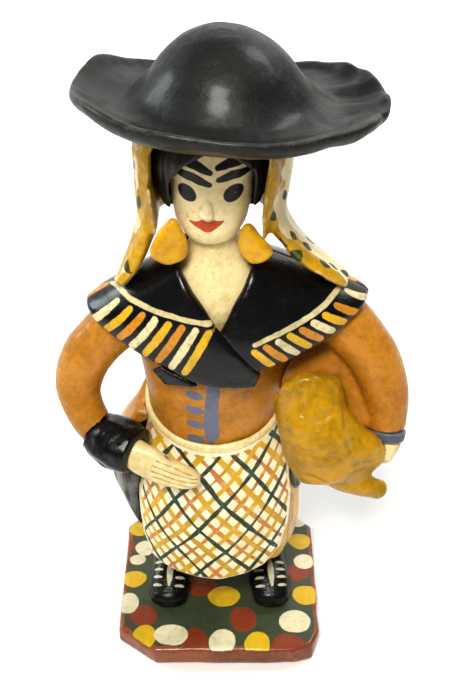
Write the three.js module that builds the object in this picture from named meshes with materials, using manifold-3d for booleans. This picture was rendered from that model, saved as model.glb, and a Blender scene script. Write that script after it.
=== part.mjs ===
// A hand-built figure of fired and painted clay: a woman in country dress with a wide
// black hat, standing on a painted slab with one hand on her hip and a bundle under the
// other arm. Millimetres, +Z up. The figure looks towards -Y and the origin is the middle
// of the slab's underside. "Right" and "left" are the figure's own, so her right is -X.

import * as THREE from 'three';
import { LoftGeometry } from 'three/addons/geometries/LoftGeometry.js';
import { mergeVertices } from 'three/addons/utils/BufferGeometryUtils.js';
import Module from 'manifold-3d';

const wasm = await Module();
wasm.setup();

// ---------------------------------------------------------------- driving dimensions

const GAP = 0.3; // clearance between pieces that touch
const RING_POINTS = 24; // points round a body, skirt or head
const TUBE_POINTS = 12; // points round a sleeve or a hand

const SLAB = { width: 79, depth: 75, height: 9, corner: 11, edge: 1.2 };

const SKIRT_WALL = 4;
const APRON_THICKNESS = 1.6;
const SHAWL_THICKNESS = 2.4;
const SHAWL_OVER = 0.9; // how far the right half stands out over the left
const SHAWL_SPLIT_Y = 2; // the front pieces of the shawl meet the back piece here

// Rings of the lofted pieces: height, centre x, centre y, half width, half depth.
const SKIRT_RINGS = [
  [30.5, 0, 3.2, 28.5, 21],
  [38, 0, 3.2, 30.2, 22],
  [50, 0, 3, 31, 22.6],
  [64, -0.3, 2.6, 30.2, 22],
  [78, -0.6, 2, 27.6, 19.6],
  [87, -1, 1.4, 25, 17.4],
  [92, -1, 1, 22.8, 15.6],
];

const BODICE_RINGS = [
  [92.3, -1, 1, 22.6, 15.6],
  [100, -1, 1, 23.2, 16],
  [112, -0.5, 1, 24.6, 17],
  [125, 0.3, 1, 27, 18],
  [138, 1.5, 1.5, 31.5, 18],
  [148, 2.5, 2, 34, 16.5],
  [156, 2, 2, 26, 13.5],
  [162, 1, 1.5, 16, 11],
  [166, 0.5, 1, 11, 9.5],
];

const DRAPE_RINGS = [
  [41, 0.2, 4, 31.8, 23.8],
  [48, -1.2, 4.6, 33.4, 25.4],
  [58, -2.8, 4.8, 35.2, 26.8],
  [68, -4, 4.6, 36, 26.8],
  [79, -3.6, 3.6, 34.2, 25],
  [91, -2.2, 2.4, 28.8, 20.4],
];

const PEPLUM_RINGS = [
  [84, -1.8, 2.6, 37.4, 27],
  [91, -1.6, 2.4, 34.4, 24.6],
  [99, -1.2, 2, 30, 21.4],
  [107, -1, 1.4, 26.6, 18.9],
  [117, -0.9, 1.2, 26, 18.4],
];
const PEPLUM_WALLS = [2.8, 3.4, 6.4, 6, 6]; // at each of the rings above

const NECK_RINGS = [
  [143, 1, -6, 5, 9],
  [150, 1, -5, 10, 11],
  [158, 0.6, -3, 14, 11.5],
  [165, 0.3, -1.5, 12.5, 10],
  [170, 0, -1, 9, 8.6],
  [180, -0.8, -1, 8, 8],
];

const HEAD_RINGS = [
  [173.8, -1.4, -6.4, 3, 3],
  [175, -1.4, -5.6, 6.4, 5.8],
  [179, -1.3, -3.4, 9.8, 9.6],
  [185.5, -1.1, -1.8, 12.2, 12],
  [194, -1, -1, 13, 13],
  [203, -0.8, -0.6, 12.8, 13],
  [209, -0.6, 0, 10.6, 11],
  [213, -0.5, 0, 5, 5.5],
];

const HAIR_RINGS = [
  [181, -0.6, 1.5, 14.2, 12],
  [187, -0.6, 0.6, 15.8, 14.4],
  [196, -0.5, 0, 16.7, 15.6],
  [205, -0.4, 0.2, 16.2, 15.2],
  [211, -0.3, 0.5, 13.2, 13],
  [215.5, -0.2, 0.5, 6, 6],
];

const SCARF_RINGS = [
  [176, -0.8, 3, 22.4, 19],
  [186, -1.1, 2, 23.8, 19.4],
  [198, -0.5, 1.5, 24.3, 20],
  [206, 0, 1.5, 23.4, 19.6],
  [214, 0.4, 1.5, 19, 17],
];
const SCARF_WALL = 3.4;

const CAPE_LEAN = 0.034;
const CAPE_SHIFT = [5, 0, -1.4];
const CAPE_RINGS = [
  [120, 1, 1, 31, 22.5],
  [128, 2, 1, 36, 23],
  [136, 3, 1, 42, 23.2],
  [143, 3.6, 1, 46, 22.6],
  [149, 3.7, 1, 47.3, 21],
  [155, 3, 1, 38, 19],
  [161, 1.6, 0.4, 27, 16.6],
  [167, 0.7, -0.6, 16.6, 13.6],
  [171, 0.4, -1, 12.8, 11.6],
];

// The hat: distance from its middle and height along the top, then along the underside.
const HAT_TOP = [
  [0.8, 237.4], [8, 236.1], [14.5, 232.7], [19.8, 227.8], [23.8, 222.2], [27.4, 218.2],
  [31.5, 216.1], [36.5, 215.7], [41.5, 216.9], [45.2, 219.2], [47.2, 219.9],
];
const HAT_UNDERSIDE = [
  [48, 218.3], [47, 216], [43.5, 213.9], [38, 212.4], [30, 211.7], [20, 211.5], [0.8, 211.2],
];
const HAT_POINTS = 36;
const HAT_CROWN_MIDDLE = [3.2, 5];
const HAT_BRIM_MIDDLE = [4.7, 1.5];
const HAT_BRIM_STARTS = 24; // the crown above this distance from the middle stays round
const HAT_RIM_RADIUS = 48;
const HAT_DEPTH_SHARE = 0.94; // the brim is a little shallower than wide
// How far the rim rises or drops at every 30 degrees, from her left round by the back.
const HAT_RIM_LIFTS = [-1.4, -1, -6.4, -9.6, -6.4, 1.8, 3.6, 6.2, 6.2, 4.9, 3.4, 1.4];

// Shoes.
const SHOE_RIGHT_X = -19.4;
const SHOE_LEFT_X = 19.6;
const ANKLE_Y = 4.8;
const SHOE_TOP = 27.6;

// Outlines that cut the apron, the overskirt and the peplum out of their rings.
const APRON_OUTLINE = [
  [-30.2, 62], [-29.6, 44], [-26.5, 33], [-16, 30], [0, 29.4], [10, 31], [18, 34.2],
  [23.6, 41], [26.6, 52], [27.4, 66], [26.2, 82], [23.6, 98], [23, 112], [-26, 112], [-27.8, 80],
];
const APRON_EDGE_Y = -1; // the apron reaches back to here at her right side
const DRAPE_SIDE = [
  [-9, 92], [-8, 80], [-5.5, 60], [-3, 41], [4, 40], [14, 44], [24, 41], [40, 44],
  [40, 92], [0, 92],
];
// Below the overskirt's hem, which rises from the middle of the back to her left.
const UNDER_DRAPE_LEFT = [[4, 30], [60, 30], [60, 67], [27, 63], [4, 41]];
const PEPLUM_SIDE = [
  [-5, 108], [-4, 96], [-1, 84], [6, 83], [40, 83], [40, 120], [0, 120],
];

// The string of the apron.
const WAIST_LINE = { front: 93.8, back: 116, x: -1, y: 1, halfWidth: 24, halfDepth: 17 };
const STRING_RADIUS = 1.1;

// Limbs: places along the middle line, each with its half width and half thickness.
const SLEEVE_RIGHT = [
  [[-24, 2, 147], 8.5, 8.5],
  [[-34, 0.5, 137], 9.4, 9],
  [[-45, -1, 124], 9, 8.6],
  [[-49, -3, 112], 8, 7.8],
  [[-46.4, -7, 103.2], 7.2, 7],
  [[-42.4, -9.4, 97.4], 6.6, 6.4],
];
const SLEEVE_LEFT = [
  [[32, 2, 147], 8.5, 8.5],
  [[42.6, 1, 138], 10.2, 9.6],
  [[53.6, -2, 125], 9.8, 9],
  [[59, -6, 111.4], 8.8, 8.2],
  [[60.2, -10, 100.8], 7, 6.8],
];
// The inner side of the left sleeve, from the armpit down behind the bundle.
const SLEEVE_LEFT_INNER = [
  [[37, 4, 139], 8, 8],
  [[43.6, 5, 127], 9, 8.6],
  [[47.6, 2, 113], 8.8, 8.6],
  [[51.8, -5, 102.6], 6.4, 6.4],
];
// The gusset that joins the left sleeve to the side of the bodice behind the bundle.
const GUSSET_LEFT = [
  [[28, 6, 119.6], 9, 8.6],
  [[45, 5, 121.6], 9, 8.6],
];
const CUFF_RIGHT = [
  [[-43, -9, 96.6], 7.6, 7.2],
  [[-38.6, -11.6, 95.2], 9.6, 9],
  [[-32.6, -15.2, 94.4], 9.8, 9.2],
  [[-28.8, -17.4, 94], 9, 8.4],
];
const WRISTBAND_LEFT = [
  [[60.2, -11.2, 98.8], 7.2, 6.9],
  [[60, -12.4, 96], 6.9, 6.6],
];
const HAND_RIGHT = [
  [[-30, -17.6, 93.6], 5, 6],
  [[-23.6, -20.6, 91.4], 4, 6.6],
  [[-17, -22.8, 89], 3, 6.2],
  [[-10.4, -24, 87.4], 2.4, 5],
  [[-7.4, -24.2, 86.8], 1.6, 3.4],
];
const HAND_LEFT = [
  [[60, -13.2, 94.6], 5, 5],
  [[58.8, -15.6, 91], 4.6, 3.6],
];
const LAPPET_RIGHT = [
  [[-21, 1.5, 201], 8, 3.6],
  [[-21.2, 1, 188], 8.4, 3.7],
  [[-22.8, -0.5, 175], 8, 3.4],
  [[-26.4, -3, 165], 7, 3],
  [[-30.6, -5.5, 158.4], 4.4, 2],
];
const LAPPET_LEFT = [
  [[20.6, 1.5, 201], 8, 3.6],
  [[18.8, 0.5, 187], 8.4, 3.8],
  [[20.4, -0.5, 178], 8.4, 3.6],
  [[26.4, -1.5, 169.4], 8.4, 3],
  [[34.4, -2, 162.4], 8, 2.4],
  [[41.6, -1, 156.8], 5, 1.8],
];
const BUNDLE_SACK = [
  [[30.4, -10.6, 123], 10.8, 8.2],
  [[31.8, -13.8, 116.4], 12, 9.8],
  [[33.6, -17, 109], 12.8, 11],
  [[37.8, -19, 100.4], 16, 11],
  [[46, -20.4, 93], 15.8, 8.5],
];
const BUNDLE_CORNER = [
  [[46, -19, 95], 9, 7.4],
  [[53.6, -18, 91.8], 6, 5.4],
];
const BUNDLE_TAIL = [
  [[40, -22, 89], 6, 5],
  [[50.4, -22, 82.4], 4.4, 4],
  [[57, -21.4, 79.4], 3.8, 3.6],
];

// Outlines in the front view, x and z.
const FACE_OUTLINE = [
  [-12.6, 170], [-13.4, 190], [-13, 197], [-8, 203], [0, 207], [7, 204], [12, 198],
  [11.6, 188], [11, 170],
];
const SCARF_FRONT = [
  [-17.6, 170], [-17.4, 204], [-13, 216], [13, 216], [16.8, 204], [14.8, 184], [15.4, 170],
];
const EARRING_RIGHT = [[-15.4, 187.6], [-20.4, 176.4], [-14.6, 169.6], [-10.2, 174], [-11.8, 181]];
const EARRING_LEFT = [[10.6, 181], [8.8, 174.4], [12.8, 169.2], [18, 173.4], [13.2, 178.8]];
const SHAWL_RIGHT_OUTLINE = [
  [-10.6, 180], [-12.4, 167], [1.6, 147], [15, 131], [12.8, 125.6], [-1, 126.2], [-8.6, 128.2],
  [-17.4, 132.8], [-31.5, 139], [-40, 143.2], [-46, 148], [-60, 158], [-60, 180],
];
const SHAWL_LEFT_OUTLINE = [
  [10.6, 180], [12, 166.5], [2.4, 147], [15.6, 131.4], [24.4, 134.8], [34, 139], [43, 144],
  [52, 149.4], [66, 160], [66, 180],
];
const SHAWL_BACK_OUTLINE = [
  [-60, 180], [-60, 152], [-44, 147], [-26, 136], [-10, 127], [2, 122], [14, 127], [30, 136],
  [50, 147], [66, 152], [66, 180],
];
const SHAWL_TAIL_OUTLINE = [
  [-21.4, 128.6], [-17.6, 123.4], [-6, 125.6], [-9, 128.2], [-17.6, 132.2],
];

// ---------------------------------------------------------------- solids and meshes

/** A manifold solid from any closed three.js geometry. */
function solid(geometry) {
  const bare = new THREE.BufferGeometry();
  bare.setAttribute('position', geometry.attributes.position);
  bare.setIndex(geometry.index);
  const merged = mergeVertices(bare, 1e-4);
  return new wasm.Manifold(
    new wasm.Mesh({
      numProp: 3,
      vertProperties: new Float32Array(merged.attributes.position.array),
      triVerts: new Uint32Array(merged.index.array),
    }),
  );
}

/** The three.js geometry of a manifold solid. */
function geometryOf(manifold) {
  const mesh = manifold.getMesh();
  const geometry = new THREE.BufferGeometry();
  geometry.setAttribute('position', new THREE.BufferAttribute(mesh.vertProperties, 3));
  geometry.setIndex(new THREE.BufferAttribute(mesh.triVerts, 1));
  geometry.computeVertexNormals();
  return geometry;
}

/** The biggest connected body of a solid, without the crumbs a cut can leave. */
function mainBody(manifold) {
  const bodies = manifold.decompose();
  return bodies.reduce((best, body) => (body.volume() > best.volume() ? body : best));
}

function paint(color, roughness) {
  return new THREE.MeshStandardMaterial({ color, roughness, metalness: 0 });
}

const figure = new THREE.Group();

/** Adds one named piece of the figure. */
function addPiece(name, manifold, material) {
  const mesh = new THREE.Mesh(geometryOf(mainBody(manifold)), material);
  mesh.name = name;
  figure.add(mesh);
}

// ---------------------------------------------------------------- shape helpers

/** Points round a flattened circle in a level plane. */
function levelRing([z, x, y, halfWidth, halfDepth], grow = 0) {
  const points = [];
  for (let i = 0; i < RING_POINTS; i += 1) {
    const angle = (i / RING_POINTS) * 2 * Math.PI;
    points.push(
      new THREE.Vector3(
        x + (halfWidth + grow) * Math.cos(angle),
        y + (halfDepth + grow) * Math.sin(angle),
        z,
      ),
    );
  }
  return points;
}

/** A closed solid through level rings; `grow` swells it sideways and at both ends. */
function stack(rings, grow = 0) {
  const sections = rings.map((ring) => levelRing(ring, grow));
  sections[0].forEach((point) => point.setZ(point.z - grow));
  sections[sections.length - 1].forEach((point) => point.setZ(point.z + grow));
  return solid(new LoftGeometry(sections, { capStart: true, capEnd: true }));
}

/**
 * A rounded limb along a smooth line through `stations`, each a place [x, y, z] with its
 * half width along `across` and its half thickness square to it.
 */
function limb(stations, { across = [0, 1, 0], steps = 10, grow = 0, round = 0.9 } = {}) {
  const line = new THREE.CatmullRomCurve3(stations.map(([place]) => new THREE.Vector3(...place)));
  const sizes = new THREE.CatmullRomCurve3(
    stations.map(([, width, thickness]) => new THREE.Vector3(width, thickness, 0)),
  );
  const reference = new THREE.Vector3(...across);
  const sections = [];
  const addSection = (t, inset, share) => {
    const tangent = line.getTangent(t);
    const side = reference.clone().addScaledVector(tangent, -reference.dot(tangent)).normalize();
    const up = new THREE.Vector3().crossVectors(tangent, side);
    const size = sizes.getPoint(t);
    const middle = line.getPoint(t).addScaledVector(tangent, inset);
    const section = [];
    for (let i = 0; i < TUBE_POINTS; i += 1) {
      const angle = (i / TUBE_POINTS) * 2 * Math.PI;
      section.push(
        middle
          .clone()
          .addScaledVector(side, (size.x + grow) * share * Math.cos(angle))
          .addScaledVector(up, (size.y + grow) * share * Math.sin(angle)),
      );
    }
    sections.push(section);
  };
  const reach = (station) => round * Math.min(station[1], station[2]) + grow;
  const first = reach(stations[0]);
  const last = reach(stations[stations.length - 1]);
  addSection(0, -first, 0.35);
  addSection(0, -0.6 * first, 0.8);
  for (let i = 0; i <= steps; i += 1) addSection(i / steps, 0, 1);
  addSection(1, 0.6 * last, 0.8);
  addSection(1, last, 0.35);
  return solid(new LoftGeometry(sections, { capStart: true, capEnd: true }));
}

/** Everything between two depths inside an outline drawn in the front view (x, z). */
function frontPrism(outline, fromY, toY) {
  const shape = new THREE.Shape(outline.map(([x, z]) => new THREE.Vector2(x, z)));
  const geometry = new THREE.ExtrudeGeometry(shape, { depth: toY - fromY, bevelEnabled: false });
  geometry.rotateX(Math.PI / 2);
  geometry.translate(0, toY, 0);
  return solid(geometry);
}

/** Everything between two widths inside an outline drawn in the side view (y, z). */
function sidePrism(outline, fromX, toX) {
  const shape = new THREE.Shape(outline.map(([y, z]) => new THREE.Vector2(y, z)));
  const geometry = new THREE.ExtrudeGeometry(shape, { depth: toX - fromX, bevelEnabled: false });
  geometry.rotateX(Math.PI / 2);
  geometry.rotateZ(Math.PI / 2);
  geometry.translate(fromX, 0, 0);
  return solid(geometry);
}

function block(fromCorner, toCorner) {
  const size = toCorner.map((value, i) => value - fromCorner[i]);
  const geometry = new THREE.BoxGeometry(...size);
  geometry.translate(...fromCorner.map((value, i) => value + size[i] / 2));
  return solid(geometry);
}

// ---------------------------------------------------------------- slab, shoes and legs

function slab() {
  const { width, depth, height, corner, edge } = SLAB;
  const w = width / 2 - edge;
  const d = depth / 2 - edge;
  const shape = new THREE.Shape();
  shape.moveTo(-w + 1.3 * corner, -d);
  shape.lineTo(w - 0.9 * corner, -d);
  shape.quadraticCurveTo(w - 0.2 * corner, -d + 0.2 * corner, w, -d + 1.1 * corner);
  shape.lineTo(w, d - 0.8 * corner);
  shape.lineTo(w - 0.8 * corner, d);
  shape.lineTo(-w + 0.8 * corner, d);
  shape.lineTo(-w, d - 0.8 * corner);
  shape.lineTo(-w, -d + 1.1 * corner);
  shape.closePath();
  const geometry = new THREE.ExtrudeGeometry(shape, {
    depth: height - 2 * edge,
    bevelSize: edge,
    bevelThickness: edge,
    bevelSegments: 2,
    curveSegments: 4,
  });
  geometry.translate(0, 0, edge);
  return solid(geometry);
}

/** A rounded boot whose toe points forward and a little outward by `turn` degrees. */
function shoe(x, turn) {
  const toSlab = SLAB.height + GAP;
  const body = limb(
    [
      [[0, 8, toSlab + 5.5], 6.6, 6.4],
      [[0, 0, toSlab + 6.2], 7.4, 7.6],
      [[0, -9, toSlab + 5], 8.1, 6.4],
      [[0, -16, toSlab + 3.4], 7.2, 4.6],
    ],
    { across: [1, 0, 0], steps: 8 },
  );
  const shaft = stack([
    [toSlab + 4, 0, 3.5, 6.6, 7],
    [toSlab + 11, 0, 3.6, 7, 7.2],
    [SHOE_TOP, 0, 3.8, 7, 7],
  ]);
  const aboveSlab = block([-20, -40, toSlab], [20, 40, 60]);
  return body
    .add(shaft)
    .intersect(aboveSlab)
    .rotate([0, 0, turn])
    .translate([x, ANKLE_Y - 3, 0]);
}

/** A stocking from the top of the boot up into the closed waist of the skirt. */
function leg(x) {
  const top = SKIRT_RINGS[SKIRT_RINGS.length - 1][0] - SKIRT_WALL - 2 * GAP;
  return stack([
    [SHOE_TOP + GAP, 0.86 * x, 3.4, 5.4, 6],
    [55, 0.66 * x, 2.5, 6.6, 7.4],
    [top, 0.45 * x, 1.5, 7, 7.6],
  ]);
}

// ---------------------------------------------------------------- skirt, apron, drape

function skirtHollow() {
  const rings = SKIRT_RINGS.map(([z, x, y, w, d]) => [z, x, y, w - SKIRT_WALL, d - SKIRT_WALL]);
  rings[0][0] -= 5;
  rings[rings.length - 1][0] -= SKIRT_WALL;
  return stack(rings);
}

/** The skirt without its hollow, carried down past the hem. */
function skirtCore(grow = 0) {
  const rings = SKIRT_RINGS.map((ring) => [...ring]);
  rings[0][0] -= 5;
  return stack(rings, grow);
}

function skirt() {
  return stack(SKIRT_RINGS).subtract(skirtHollow());
}

/** The outer surface of the apron, carried all round the skirt and the waist. */
function apronSkin(grow = 0) {
  const waist = [
    [96, -1, 1, 22.8, 15.8],
    [106, -0.8, 1, 23.8, 16.5],
  ];
  return stack([...SKIRT_RINGS.slice(0, -1), ...waist], GAP + APRON_THICKNESS + grow);
}

/** The side view of all that lies under the apron's string. */
function belowString(drop) {
  const height = (y) =>
    WAIST_LINE.front +
    ((WAIST_LINE.back - WAIST_LINE.front) * (y - WAIST_LINE.y + WAIST_LINE.halfDepth)) /
      (2 * WAIST_LINE.halfDepth) -
    drop;
  return sidePrism([[-60, 0], [60, 0], [60, height(60)], [-60, height(-60)]], -60, 60);
}

function apron() {
  return apronSkin()
    .intersect(frontPrism(APRON_OUTLINE, -60, APRON_EDGE_Y))
    .intersect(belowString(1.3 * STRING_RADIUS + GAP))
    .subtract(skirtCore(GAP))
    .subtract(stack(BODICE_RINGS, GAP))
    .subtract(waistband(GAP));
}

/** The room the apron takes up, with its gap. */
function apronWithGap() {
  return apronSkin(GAP).intersect(frontPrism(APRON_OUTLINE, -60, APRON_EDGE_Y + GAP));
}

/** The gathered overskirt, full at the hips and drawn in below, open at the front. */
function drape() {
  return stack(DRAPE_RINGS)
    .intersect(sidePrism(DRAPE_SIDE, -60, 60))
    .subtract(frontPrism(UNDER_DRAPE_LEFT, -60, 60))
    .subtract(stack(SKIRT_RINGS, GAP))
    .subtract(apronWithGap())
    .subtract(stack(BODICE_RINGS, GAP))
    .subtract(peplumSolid(GAP));
}

// ---------------------------------------------------------------- bodice, peplum, waist

/** The string of the apron, lower at the front than at the back. */
function waistband(grow = 0) {
  const slant = (WAIST_LINE.back - WAIST_LINE.front) / 2;
  const middle = (WAIST_LINE.back + WAIST_LINE.front) / 2;
  const radius = STRING_RADIUS + grow;
  const turns = 28;
  const sections = [];
  for (let i = 0; i < turns; i += 1) {
    const angle = (i / turns) * 2 * Math.PI;
    const section = [];
    for (let j = 0; j < 8; j += 1) {
      const around = (j / 8) * 2 * Math.PI;
      const out = radius * Math.cos(around);
      section.push(
        new THREE.Vector3(
          WAIST_LINE.x + (WAIST_LINE.halfWidth + out) * Math.cos(angle),
          WAIST_LINE.y + (WAIST_LINE.halfDepth + out) * Math.sin(angle),
          middle + slant * Math.sin(angle) + 1.3 * radius * Math.sin(around),
        ),
      );
    }
    sections.push(section.reverse());
  }
  sections.push(sections[0].map((point) => point.clone()));
  return solid(new LoftGeometry(sections));
}

function peplumSolid(grow = 0) {
  const inner = PEPLUM_RINGS.map(([z, x, y, w, d], i) => {
    const wall = PEPLUM_WALLS[i];
    return [z, x, y, w - wall, d - wall];
  });
  inner[0][0] -= 3;
  inner[inner.length - 1][0] += 3;
  return stack(PEPLUM_RINGS, grow).subtract(stack(inner, -grow));
}

function peplum() {
  return peplumSolid()
    .intersect(sidePrism(PEPLUM_SIDE, -60, 60))
    .intersect(belowString(1.3 * STRING_RADIUS + GAP))
    .subtract(waistband(GAP))
    .subtract(stack(BODICE_RINGS, GAP))
    .subtract(stack(SKIRT_RINGS, GAP))
    .subtract(apronWithGap());
}

function bodice() {
  return stack(BODICE_RINGS).subtract(stack(NECK_RINGS, GAP)).subtract(waistband(GAP));
}

// ---------------------------------------------------------------- arms and hands

function sleeve(stations, grow = 0) {
  return limb(stations, { steps: 14, grow, round: 0.6 });
}

function gusset(grow = 0) {
  return limb(GUSSET_LEFT, { steps: 3, grow });
}

function cuff(grow = 0) {
  return limb(CUFF_RIGHT, { steps: 6, grow, round: 0.15 });
}

function wristband(grow = 0) {
  return limb(WRISTBAND_LEFT, { steps: 2, grow, round: 0.12 });
}

function handRight(grow = 0) {
  return limb(HAND_RIGHT, { steps: 8, grow });
}

// ---------------------------------------------------------------- head and headgear

function nose() {
  return limb(
    [
      [[-1.9, -14.2, 191.6], 1.1, 1.1],
      [[-2.2, -15.2, 189], 1.7, 1.6],
      [[-2.4, -15.8, 187.2], 2.1, 1.7],
    ],
    { across: [1, 0, 0], steps: 4 },
  ).subtract(stack(HEAD_RINGS, GAP));
}

/** Hair over the back and sides of the head, open at the face. */
function hair() {
  return stack(HAIR_RINGS)
    .subtract(stack(HEAD_RINGS, GAP))
    .subtract(frontPrism(FACE_OUTLINE, -40, -2))
    .subtract(stack(NECK_RINGS, GAP));
}

function scarfCap() {
  const inner = SCARF_RINGS.map(([z, x, y, w, d]) => [z, x, y, w - SCARF_WALL, d - SCARF_WALL]);
  inner[0][0] -= 3;
  inner[inner.length - 1][0] += 3;
  return stack(SCARF_RINGS).subtract(stack(inner)).subtract(frontPrism(SCARF_FRONT, -60, 1));
}

function lappets(grow = 0) {
  return limb(LAPPET_RIGHT, { steps: 10, grow }).add(limb(LAPPET_LEFT, { steps: 12, grow }));
}

function headscarf() {
  return scarfCap()
    .add(lappets())
    .subtract(stack(HAIR_RINGS, GAP))
    .subtract(cape(SHAWL_OVER + GAP));
}

const hatRim = new THREE.CatmullRomCurve3(
  HAT_RIM_LIFTS.map((lift, i) => new THREE.Vector3(i, lift, 0)).concat(
    new THREE.Vector3(HAT_RIM_LIFTS.length, HAT_RIM_LIFTS[0], 0),
  ),
);

/** A ring of the hat: round in the crown, and following the bent rim further out. */
function hatRing([radius, z]) {
  const share = THREE.MathUtils.smoothstep(radius, HAT_BRIM_STARTS, HAT_RIM_RADIUS);
  const x = THREE.MathUtils.lerp(HAT_CROWN_MIDDLE[0], HAT_BRIM_MIDDLE[0], share);
  const y = THREE.MathUtils.lerp(HAT_CROWN_MIDDLE[1], HAT_BRIM_MIDDLE[1], share);
  const depth = THREE.MathUtils.lerp(1, HAT_DEPTH_SHARE, share);
  const points = [];
  for (let i = 0; i < HAT_POINTS; i += 1) {
    const angle = (i / HAT_POINTS) * 2 * Math.PI;
    points.push(
      new THREE.Vector3(
        x + radius * Math.cos(angle),
        y + radius * depth * Math.sin(angle),
        z + share * hatRim.getPoint(i / HAT_POINTS).y,
      ),
    );
  }
  return points;
}

function hat() {
  const rings = [...HAT_UNDERSIDE].reverse().concat([...HAT_TOP].reverse());
  const whole = solid(new LoftGeometry(rings.map(hatRing), { capStart: true, capEnd: true }));
  return whole.subtract(stack(SCARF_RINGS, GAP)).subtract(stack(HAIR_RINGS, GAP));
}

/** A thick, rounded gold drop hanging beside the neck. */
function earring(outline, y, tilt) {
  const shape = new THREE.Shape();
  shape.moveTo(...outline[0]);
  shape.splineThru(outline.slice(1).concat([outline[0]]).map((p) => new THREE.Vector2(...p)));
  const geometry = new THREE.ExtrudeGeometry(shape, {
    depth: 1,
    bevelSize: 1.2,
    bevelThickness: 1.2,
    bevelSegments: 2,
    curveSegments: 3,
  });
  geometry.rotateX(Math.PI / 2);
  geometry.rotateZ(tilt);
  geometry.translate(0, y, 0);
  return solid(geometry)
    .subtract(stack(NECK_RINGS, GAP))
    .subtract(stack(HEAD_RINGS, GAP))
    .subtract(stack(HAIR_RINGS, GAP))
    .subtract(lappets(GAP))
    .subtract(cape(SHAWL_OVER + GAP));
}

// ---------------------------------------------------------------- shawl

/** The shoulders as the shawl wraps them, a little lower at her right. */
function cape(grow = 0, extraBelow = 0) {
  const rings = CAPE_RINGS.map((ring) => [...ring]);
  rings[0][0] -= extraBelow;
  const lean = Math.atan(CAPE_LEAN);
  return stack(rings, grow).rotate([0, -THREE.MathUtils.radToDeg(lean), 0]).translate(CAPE_SHIFT);
}

function capeShell(thickness = SHAWL_THICKNESS, grow = 0) {
  return cape(grow).subtract(cape(grow - thickness, 3));
}

function underShawl(shell) {
  return shell.subtract(stack(NECK_RINGS, GAP)).subtract(stack(BODICE_RINGS, GAP));
}

function shawlRight() {
  const shell = capeShell(SHAWL_THICKNESS + SHAWL_OVER, SHAWL_OVER);
  return underShawl(shell.intersect(frontPrism(SHAWL_RIGHT_OUTLINE, -60, SHAWL_SPLIT_Y - GAP)));
}

function shawlLeft() {
  return underShawl(
    capeShell().intersect(frontPrism(SHAWL_LEFT_OUTLINE, -60, SHAWL_SPLIT_Y - GAP)),
  );
}

function shawlBack() {
  return underShawl(capeShell().intersect(frontPrism(SHAWL_BACK_OUTLINE, SHAWL_SPLIT_Y, 60)));
}

function shawlTail() {
  const shell = capeShell(3.4, 0.4);
  return underShawl(shell.intersect(frontPrism(SHAWL_TAIL_OUTLINE, -60, 0)));
}

/** All of a sleeve that would stand out through the shawl above it. */
function coveredByShawl() {
  const front = frontPrism(SHAWL_RIGHT_OUTLINE, -60, SHAWL_SPLIT_Y).add(
    frontPrism(SHAWL_LEFT_OUTLINE, -60, SHAWL_SPLIT_Y),
  );
  const back = frontPrism(SHAWL_BACK_OUTLINE, SHAWL_SPLIT_Y, 60);
  return front.add(back).subtract(cape(-SHAWL_THICKNESS - GAP));
}

// ---------------------------------------------------------------- bundle

function bundle() {
  return limb(BUNDLE_SACK, { across: [1, 0, 0], steps: 12, round: 0.7 })
    .add(limb(BUNDLE_CORNER, { across: [0, 0, 1], steps: 3 }))
    .add(limb(BUNDLE_TAIL, { across: [0, 0, 1], steps: 6 }))
    .subtract(stack(BODICE_RINGS, GAP))
    .subtract(apronSkin(GAP))
    .subtract(stack(DRAPE_RINGS, GAP))
    .subtract(stack(SKIRT_RINGS, GAP))
    .subtract(stack(PEPLUM_RINGS, GAP))
    .subtract(waistband(GAP))
    .subtract(sleeve(SLEEVE_LEFT, GAP))
    .subtract(sleeve(SLEEVE_LEFT_INNER, GAP))
    .subtract(gusset(GAP))
    .subtract(wristband(GAP))
    .subtract(limb(HAND_LEFT, { steps: 3, grow: GAP }))
    .subtract(cape(SHAWL_OVER + GAP));
}

// ---------------------------------------------------------------- the figure

const CLAY = paint(0x8e4a32, 0.6);
const BLACK = paint(0x15161a, 0.35);
const CREAM = paint(0xe8dcc0, 0.5);
const YELLOW = paint(0xd9a420, 0.4);
const ORANGE = paint(0xcf8527, 0.5);
const BLUE_GREY = paint(0x5d6480, 0.5);
const HAIR_BROWN = paint(0x2e2724, 0.5);
const MUSTARD = paint(0xc99a15, 0.35);

addPiece('base_slab', slab(), CLAY);
addPiece('shoe_right', shoe(SHOE_RIGHT_X, -3), BLACK);
addPiece('shoe_left', shoe(SHOE_LEFT_X, 5), BLACK);
addPiece('leg_right', leg(SHOE_RIGHT_X), BLACK);
addPiece('leg_left', leg(SHOE_LEFT_X), BLACK);
addPiece('skirt', skirt(), YELLOW);
addPiece('apron', apron(), CREAM);
addPiece('apron_waistband', waistband(), CREAM);
addPiece('overskirt_drape', drape(), BLACK);
addPiece('peplum', peplum(), ORANGE);
addPiece('bodice', bodice(), ORANGE);

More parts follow.
